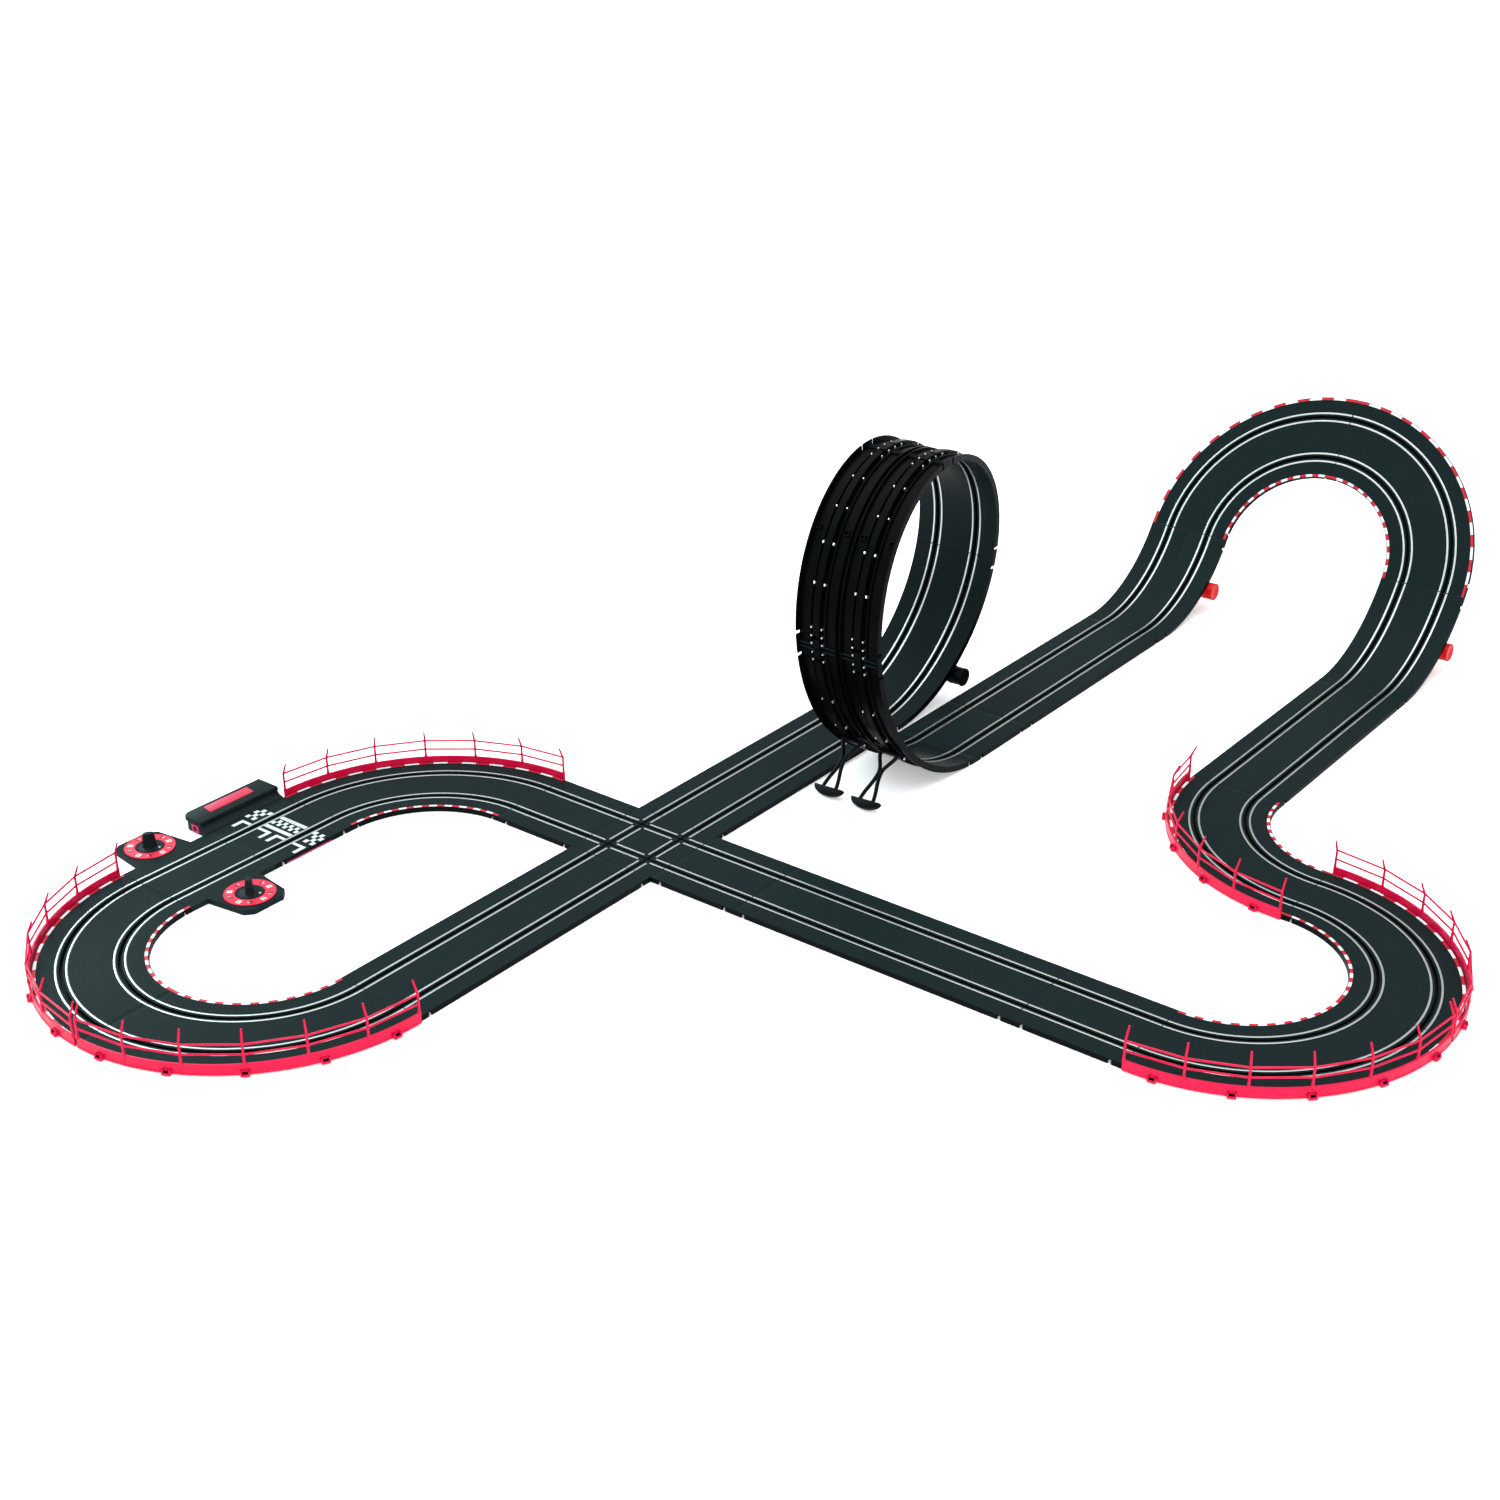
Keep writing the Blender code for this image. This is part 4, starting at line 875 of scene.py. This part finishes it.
def add_dial(where):
    """Index ring with ten numbered places, and the knob with its hub, dot and ribbed grip."""
    centre = hinge(where + "_counter_turn")
    place = Matrix.Translation(centre)
    work = bmesh.new()
    inner, outer = DIAL_IN, DIAL_OUT
    lathe(work, ((inner, 0.0004), (outer, 0.0004), (outer, 0.0010), (outer - 0.0004, 0.0014),
                 (outer - 0.0012, 0.0014), (outer - 0.0016, 0.0011), (inner + 0.0016, 0.0011),
                 (inner + 0.0012, 0.0014), (inner + 0.0004, 0.0014), (inner, 0.0010)), place, 72)
    piece("dial_" + where, work, DIAL_RED, "rail_red", replaces=("dial_ring_" + where,))
    light, dark = bmesh.new(), bmesh.new()
    radius = (inner + outer) / 2
    for number in range(DIAL_PLACES):
        turn = place @ Matrix.Rotation(2 * math.pi * number / DIAL_PLACES, 4, "Z")
        odd = number % 2
        patch, ink = (light, dark) if odd else (dark, light)
        half = 0.0026 if odd else 0.0010
        box_into(patch, (-half, radius - 0.0030, 0.0011), (half, radius + 0.0030, 0.00117), turn)
        mesh = digit_mesh(str(number), 0.0052)
        mesh.transform(turn @ Matrix.Translation((0.0 if odd else 0.0030, radius, 0.00125)))
        ink.from_mesh(mesh)
        bpy.data.meshes.remove(mesh)
    piece("dial_marks_light_" + where, light, INK_WHITE, "print_white", smooth=0)
    piece("dial_marks_dark_" + where, dark, DIAL_DARK, "kerb_red", smooth=0)
    turn = place @ Matrix.Rotation(KNOB_TURN[where], 4, "Z")
    body = where + "_counter"
    work = bmesh.new()
    lathe(work, ((0, 0.0016), (0.0088, 0.0016), (0.0094, 0.0013), (0.0132, 0.0013), (0.0138, 0.0017),
                 (0.0148, 0.0017), (0.0152, 0.0013), (0.0152, 0.0004), (0.003, 0.0004), (0.003, -0.0021),
                 (0.002, -0.0021), (0.002, -0.0046), (0, -0.0046)), turn, 64)
    grip = []
    for z, share in ((0.0012, 1.08), (0.0030, 1.0), (0.0060, 0.96), (0.0100, 0.92), (0.0140, 0.88),
                     (0.0165, 0.84), (0.0175, 0.78), (0.0180, 0.66)):
        ring = []
        for k in range(48):
            a = 2 * math.pi * k / 48
            rib = 1.0 + (0.035 * math.cos(12 * a) if 0.002 < z < 0.017 else 0.0)
            x, y = 0.0045 * flatter(math.cos(a), 0.8), 0.0075 * flatter(math.sin(a), 0.8)
            ring.append(turn @ Vector((x * share * rib, y * share * rib, z)))
        grip.append(ring)
    made = bmesh.new()
    loft(made, grip)
    append(work, made)
    piece("knob_" + where, work, BOX_BLACK, "box_black", body, ("counter_knob_" + where,))
    work = bmesh.new()
    spot = Matrix.Rotation(math.radians(-63), 4, "Z") @ Vector((0.0115, 0, 0))
    lathe(work, ((0, 0.0018), (0.0011, 0.0018), (0.0013, 0.0016), (0.0013, 0.0012), (0, 0.0012)),
          place @ Matrix.Translation(spot), 20)
    piece("knob_dot_" + where, work, INK_WHITE, "print_white", body)


# ---------------------------------------------------------------- terminal box

def slab(outline, layers):
    """Stack an outline through heights, each drawn inwards by its own distance."""
    work = bmesh.new()
    loft(work, [[Vector((p.x, p.y, z)) for p in inset(outline, shrink)] for z, shrink in layers])
    return work


def box_outline(left, right, front, outer):
    """Plan of the terminal box: three small corners, and a well rounded outer left one."""
    points = rounded([(left, front), (right, front), (right, outer), (left, outer)], 0.0016)[:15]
    for i in range(9):
        angle = math.pi / 2 * (1 + i / 8)
        x = left + TERMINAL_CORNER * (1 + math.cos(angle))
        points.append(Vector((x, outer - TERMINAL_CORNER * (1 - math.sin(angle)))))
    return points


def add_terminal():
    """Lid over a flared housing, with a plain label and a power jack in its left end."""
    low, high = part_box("terminal_lid")
    outline = box_outline(low.x, high.x, low.y, high.y)
    z0, z1 = low.z, high.z
    layers = ((z0, 0.0004), (z0 + 0.0004, 0.0), (z1 - 0.0014, 0.0), (z1 - 0.0008, 0.0002),
              (z1 - 0.0003, 0.0006), (z1, 0.0013))
    piece("lid", slab(outline, layers), BOX_BLACK, "box_black", replaces=("terminal_lid",))
    low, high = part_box("terminal_housing")
    flare = ((low.z, 0.0), (low.z + 0.0003, 0.0), (DECK, 0.0), (DECK + 0.0004, 0.0001),
             (DECK + 0.0008, 0.0014), (DECK + 0.0012, 0.0028), (DECK + 0.0021, 0.0048),
             (DECK + 0.0032, 0.0065), (DECK + 0.0044, 0.0077), (high.z, 0.0084))
    work = bmesh.new()
    rings = []
    for z, back in flare:
        ring = box_outline(low.x + 0.0005, high.x, low.y + back, high.y)
        rings.append([Vector((point.x, point.y, z)) for point in ring])
    loft(work, rings)
    for k in range(9):
        x = low.x + 0.016 + 0.010 * k
        far = (x + 0.0016, high.y + 0.0002, high.z - 0.003)
        box_into(work, (x, high.y - 0.0016, low.z + 0.002), far, bevel=0.0002)
    piece("housing", work, BOX_BLACK, "box_black", replaces=("terminal_housing",))
    low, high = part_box("label_plate")
    plan = [(low.x, low.y), (high.x - LABEL_SLANT, low.y), (high.x, high.y), (low.x + LABEL_SLANT, high.y)]
    layers = ((low.z - 0.0002, 0.0), (high.z - 0.0001, 0.0), (high.z, 0.0002))
    piece("label", slab(rounded(plan, 0.0006, 3), layers), LABEL_RED, "label_red", replaces=("label_plate",))
    add_jack()


def add_jack():
    """A soft-cornered block with a socket and its pin."""
    low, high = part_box("power_jack")
    hole = Vector((low.x, (low.y + high.y) / 2, DECK))
    ring = [(math.cos(math.pi * k / 16), math.sin(math.pi * k / 16)) for k in range(32)]
    half, up, down = (high.y - low.y) / 2 - 0.0001, high.z - hole.z - 0.0001, hole.z - low.z - 0.0001
    face = [(half * flatter(c, 2 / 7), (up if s > 0 else down) * flatter(s, 2 / 7)) for c, s in ring]
    end, back = low.x, high.x
    block = ((back, 0.98), (back - 0.0004, 1.0), (end + 0.0012, 1.0), (end + 0.0004, 0.96), (end, 0.88))
    socket = ((end, 0.0036), (end + 0.0003, 0.0031), (end + 0.005, 0.0031), (end + 0.005, 0.0009),
              (end + 0.0015, 0.0009), (end + 0.0011, 0.0005))
    rings = [[Vector((x, hole.y + a * grow, hole.z + b * grow)) for a, b in face] for x, grow in block]
    rings += [[Vector((x, hole.y + c * r, hole.z + s * r)) for c, s in ring] for x, r in socket]
    work = bmesh.new()
    loft(work, rings)
    piece("jack", work, JACK_RED, "jack_red", replaces=("power_jack",))


# ---------------------------------------------------------------- supports

def add_clamp(node, surface, slot, angle, reach):
    """Barrel with a rimmed end, a relief groove and a saddle under the deck."""
    low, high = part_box(node)
    r = (high.x - low.x) / 2
    centre = Vector(((low.x + high.x) / 2, low.y, (low.z + high.z) / 2))
    length = high.y - low.y
    place = Matrix.Translation(centre) @ Matrix.Rotation(-math.pi / 2, 4, "X")
    work = bmesh.new()
    lathe(work, ((0.0, 0.0018), (r * 0.42, 0.0018), (r * 0.47, 0.0010), (r * 0.84, 0.0010), (r * 0.90, 0.0),
                 (r * 0.97, 0.0), (r, 0.0005), (r, 0.0026), (r * 0.955, 0.0030), (r * 0.955, reach + 0.0030),
                 (r, reach + 0.0034), (r, reach + 0.0060), (r * 0.93, reach + 0.0064),
                 (r * 0.93, length - 0.001), (r * 0.86, length), (0.0, length)), place, 56)
    lean = Matrix.Translation(centre) @ Matrix.Rotation(angle, 4, "Y")
    for x0, x1 in ((-0.0092, -0.0060), (0.0060, 0.0092)):
        box_into(work, (x0, reach + 0.0070, r * 0.35), (x1, length - 0.001, r * 0.98), lean, 0.0004)
    for k in range(8):
        ridge = Matrix.Translation(centre) @ Matrix.Rotation(math.pi / 4 * k + 0.2, 4, "Y")
        box_into(work, (-0.0006, 0.0032, r * 0.93), (0.0006, reach + 0.0028, r * 0.985), ridge, 0.0002)
    piece("clamp_" + node, work, surface, slot, replaces=(node,))


def leg_spread(f):
    """Half the distance between a leg's rods, from its plug to its foot."""
    top, waist, foot = LEG_SPREAD
    if f < LEG_WAIST:
        return waist + (top - waist) * (1 + math.cos(math.pi * f / LEG_WAIST)) / 2
    return waist + (foot - waist) * (1 - math.cos(math.pi * (f - LEG_WAIST) / (1 - LEG_WAIST))) / 2


def add_leg(node):
    """Two rods that meet at a waist, between a plug and a half-moon foot."""
    low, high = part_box(node)
    top = loop_point(LEG_ANGLE, 0.0, -DECK - LOOP_DEEPER - GAP)
    place = Matrix.Translation((top.x, (low.y + high.y) / 2, top.z)) @ Matrix.Rotation(LEG_ANGLE, 4, "Y")
    length = (top.z - 0.002) / math.cos(LEG_ANGLE)
    work = bmesh.new()
    box_into(work, (-0.0038, -0.0146, -0.0034), (0.0038, 0.0146, 0.0), place, 0.0006)
    reach = length - 0.009
    for sign in (-1, 1):
        points = []
        for i in range(25):
            f = i / 24
            points.append(place @ Vector((sign * 0.0006, sign * leg_spread(f), -0.001 - f * reach)))
        rod(work, points, LEG_ROD, 14)
    turned = place @ Matrix.Translation((0, 0, 0.011 - length)) @ Matrix.Rotation(-LEG_FOOT_TURN, 4, "Z")
    turns = [math.pi * (1 + i / 28) for i in range(29)]
    arc = [(LEG_FOOT_HALF * math.cos(a), LEG_FOOT_HALF / 2 * math.sin(a)) for a in turns]
    rings = []
    layers = ((0.0020, 1.0), (0.0027, 0.985), (0.003, 0.92))
    for x, grow in [(-x, grow) for x, grow in reversed(layers)] + list(layers):
        rings.append([turned @ Vector((x, y * grow, z * grow)) for y, z in arc])
    made = bmesh.new()
    loft(made, rings)
    append(work, made)
    for y in (-0.0150, 0.0150):
        box_into(work, (-0.0032, y - 0.0005, -0.0060), (0.0032, y + 0.0005, -0.0002), turned, 0.0002)
    piece("leg_" + node, work, GLOSS_BLACK, "box_black", replaces=(node,))


# ---------------------------------------------------------------- loop underside

# Places round the loop, in degrees from its start
LOOP_TABS = {
    "loop_entry": (8, 24, 39, 54, 68.5, 85.5, 88.3),
    "loop_rise": (91.7, 94.5, 97.5, 142.5, 157, 172, 177.5),
    "loop_fall": (182.5, 188, 203, 217.5, 262.5, 267.5),
    "loop_exit": (272.5, 277, 291.5, 306, 321, 336, 352),
}
WIDE_TABS = {"loop_rise": (113.3, 128.0), "loop_fall": (232.0, 246.7)}
LOOP_FRAMES = {"loop_entry": 46.5, "loop_rise": 133.5, "loop_fall": 226.5, "loop_exit": 313.5}


def under_tabs(work, path, places, radius, low):
    """Ends of the strips' tabs, one on each side of a slot channel."""
    for s in places:
        for lane in (-LANE, LANE):
            for u in (lane - 0.0072, lane + 0.0072):
                far = (s + radius * 1.3, u + radius, -PLATE + 0.0001)
                box_into(work, (s - radius * 1.3, u - radius, low), far, path.place, 0.0004)


def add_loop_details():
    """Strip tabs, square frames and thin ribs beside the channels, on the outside of the loop."""
    rib = [(0.0003, -0.0039), (0.0006, -0.0036), (0.0006, RIB_TOP)]
    rib = [(-u, v) for u, v in reversed(rib)] + rib
    for index, name in enumerate(LOOP_TABS):
        path = PATH[name]

        def reach(degrees, start=90 * index):
            return math.radians(degrees - start) * LOOP_RADIUS

        work = bmesh.new()
        under_tabs(work, path, map(reach, LOOP_TABS[name]), 0.0008, -0.0054)
        under_tabs(work, path, map(reach, WIDE_TABS.get(name, ())), 0.0011, -0.0058)
        # The tabs take the brighter copy of the strip steel, as painted glints
        piece("tabs_" + name, work, GLINT_STEEL, "conductor_steel")
        work = bmesh.new()
        s = reach(LOOP_FRAMES[name])
        inner, outer = 0.0026, 0.0034
        sides = ((-outer, -inner, -inner, inner), (inner, outer, -inner, inner),
                 (-outer, outer, -outer, -inner), (-outer, outer, inner, outer))
        for u in (-0.0504, -0.0112, 0.0112, 0.0504):
            for a, b, c, d in sides:
                box_into(work, (s + a, u + c, -0.0038), (s + b, u + d, RIB_TOP), path.place)
        places = [0.004 + (path.length - 0.008) * i / 30 for i in range(31)]
        for centre in [lane + side for lane in (-LANE, LANE) for side in (-0.0100, 0.0100)]:
            loft(work, swept(path, places, [(centre + u, v) for u, v in rib]))
        piece("frames_" + name, work, GLOSS_BLACK, "gloss_black")


# ---------------------------------------------------------------- camera, floor and light

VIEWPOINT = Vector((-1.6102, -1.4209, 1.1852))
VIEW_AHEAD = Vector((0.7084, 0.5363, -0.4587))
VIEW_RIGHT = Vector((0.6045, -0.7966, 0.0022))
LENS = 52.78
LENS_SHIFT = (-0.0263, 0.0218)


def add_area(name, location, target, size, power, colour=(1, 1, 1), size_y=None):
    """A soft rectangular light aimed at a point."""
    light = bpy.data.lights.new(name, "AREA")
    light.energy = power
    light.color = colour
    light.shape = "RECTANGLE"
    light.size = size
    light.size_y = size_y or size
    obj = bpy.data.objects.new(name, light)
    obj.location = location
    obj.rotation_euler = (Vector(target) - Vector(location)).to_track_quat("-Z", "Y").to_euler()
    bpy.context.scene.collection.objects.link(obj)


def add_camera():
    """The camera, at the photograph's viewpoint."""
    data = bpy.data.cameras.new("camera")
    data.sensor_width = 36.0
    data.lens = LENS
    data.shift_x, data.shift_y = LENS_SHIFT
    data.clip_start = 0.05
    data.clip_end = 60.0
    camera = bpy.data.objects.new("camera", data)
    ahead = VIEW_AHEAD.normalized()
    right = (VIEW_RIGHT - ahead * VIEW_RIGHT.dot(ahead)).normalized()
    up = right.cross(ahead)
    turn = Matrix((right, up, -ahead)).transposed().to_4x4()
    camera.matrix_world = Matrix.Translation(VIEWPOINT) @ turn
    bpy.context.scene.collection.objects.link(camera)
    bpy.context.scene.camera = camera


def add_stage():
    """A wide pale floor just under the set, a bright room and soft lights."""
    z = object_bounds()[0].z - 0.0004
    mesh = bpy.data.meshes.new("floor")
    mesh.from_pydata([(-30, -30, z), (30, -30, z), (30, 30, z), (-30, 30, z)], [], [(0, 1, 2, 3)])
    floor = bpy.data.objects.new("floor", mesh)
    made = Surface("floor_white", Specular_IOR_Level=0.1, Roughness=0.9, Emission_Strength=0.3,
                   Emission_Color=(1.0, 1.0, 1.0, 1.0))
    made.colour(made.blend(made.noise(3.0, 3.0, 0.6), (0.90, 0.90, 0.90), (0.94, 0.94, 0.94)))
    mesh.materials.append(made.material)
    bpy.context.scene.collection.objects.link(floor)
    bpy.context.scene.world = room_light()
    bpy.context.scene.view_settings.view_transform = "Standard"
    add_area("key", (0.0, 2.9, 1.75), (-0.5, 0.1, 0.0), 2.2, 75, (0.72, 1.0, 1.06), 1.6)
    add_area("side", (-2.6, 1.2, 1.8), (0.0, 0.0, 0.0), 1.6, 14)
    add_area("front", (-1.9, -2.4, 0.9), (0.1, 0.0, 0.1), 1.6, 34)


def room_light():
    """A bright ceiling that falls off steeply, with a pale band along the horizon."""
    world = bpy.data.worlds.new("room")
    world.use_nodes = True
    sky = Nodes(world.node_tree)
    height = sky.axis("Generated", "Z")
    ceiling = sky.maths("POWER", sky.spread(height, 0.0, 1.0), 3.0)
    ceiling = sky.maths("ADD", sky.maths("MULTIPLY", ceiling, 3.5), 0.16)
    band = sky.spread(height, 0.14, 0.36, 0.85, 0.0)
    band.node.interpolation_type = "SMOOTHSTEP"
    background = sky.tree.nodes["Background"]
    background.inputs["Color"].default_value = (1.0, 1.0, 1.0, 1.0)
    sky.link(sky.maths("ADD", ceiling, band), background.inputs["Strength"])
    return world


add_camera()
add_track()
dress_node("crossing", DECK_BLACK, 0.0003)
dress_node("lap_counter_track", DECK_BLACK, 0.0004)
for node in ("ratchet_wheel_inner", "ratchet_wheel_outer", "trip_lever_inner", "trip_lever_outer",
             "counter_cover_inner", "counter_cover_outer"):
    dress_node(node, BOX_BLACK, 0.00015)
for curve in (*CURVES, "bank_curve_south", "bank_curve_north"):
    add_kerbs(PATH[curve])
add_start_marks()
for curve, quarter in CURVES.items():
    add_guard_rail(curve.replace("curve", "guard_rail"), quarter)
for side in ("outer", "inner"):
    add_dial(side)
add_terminal()
add_clamp("bank_clamp_south", CLAMP_RED, "rail_red", math.radians(-36), 0.0052)
add_clamp("bank_clamp_north", CLAMP_RED, "rail_red", math.radians(-36), 0.0090)
add_clamp("loop_clamp", GLOSS_BLACK, "box_black", math.radians(-42), 0.0120)
add_leg("loop_leg_north")
add_leg("loop_leg_south")
add_loop_details()
add_stage()
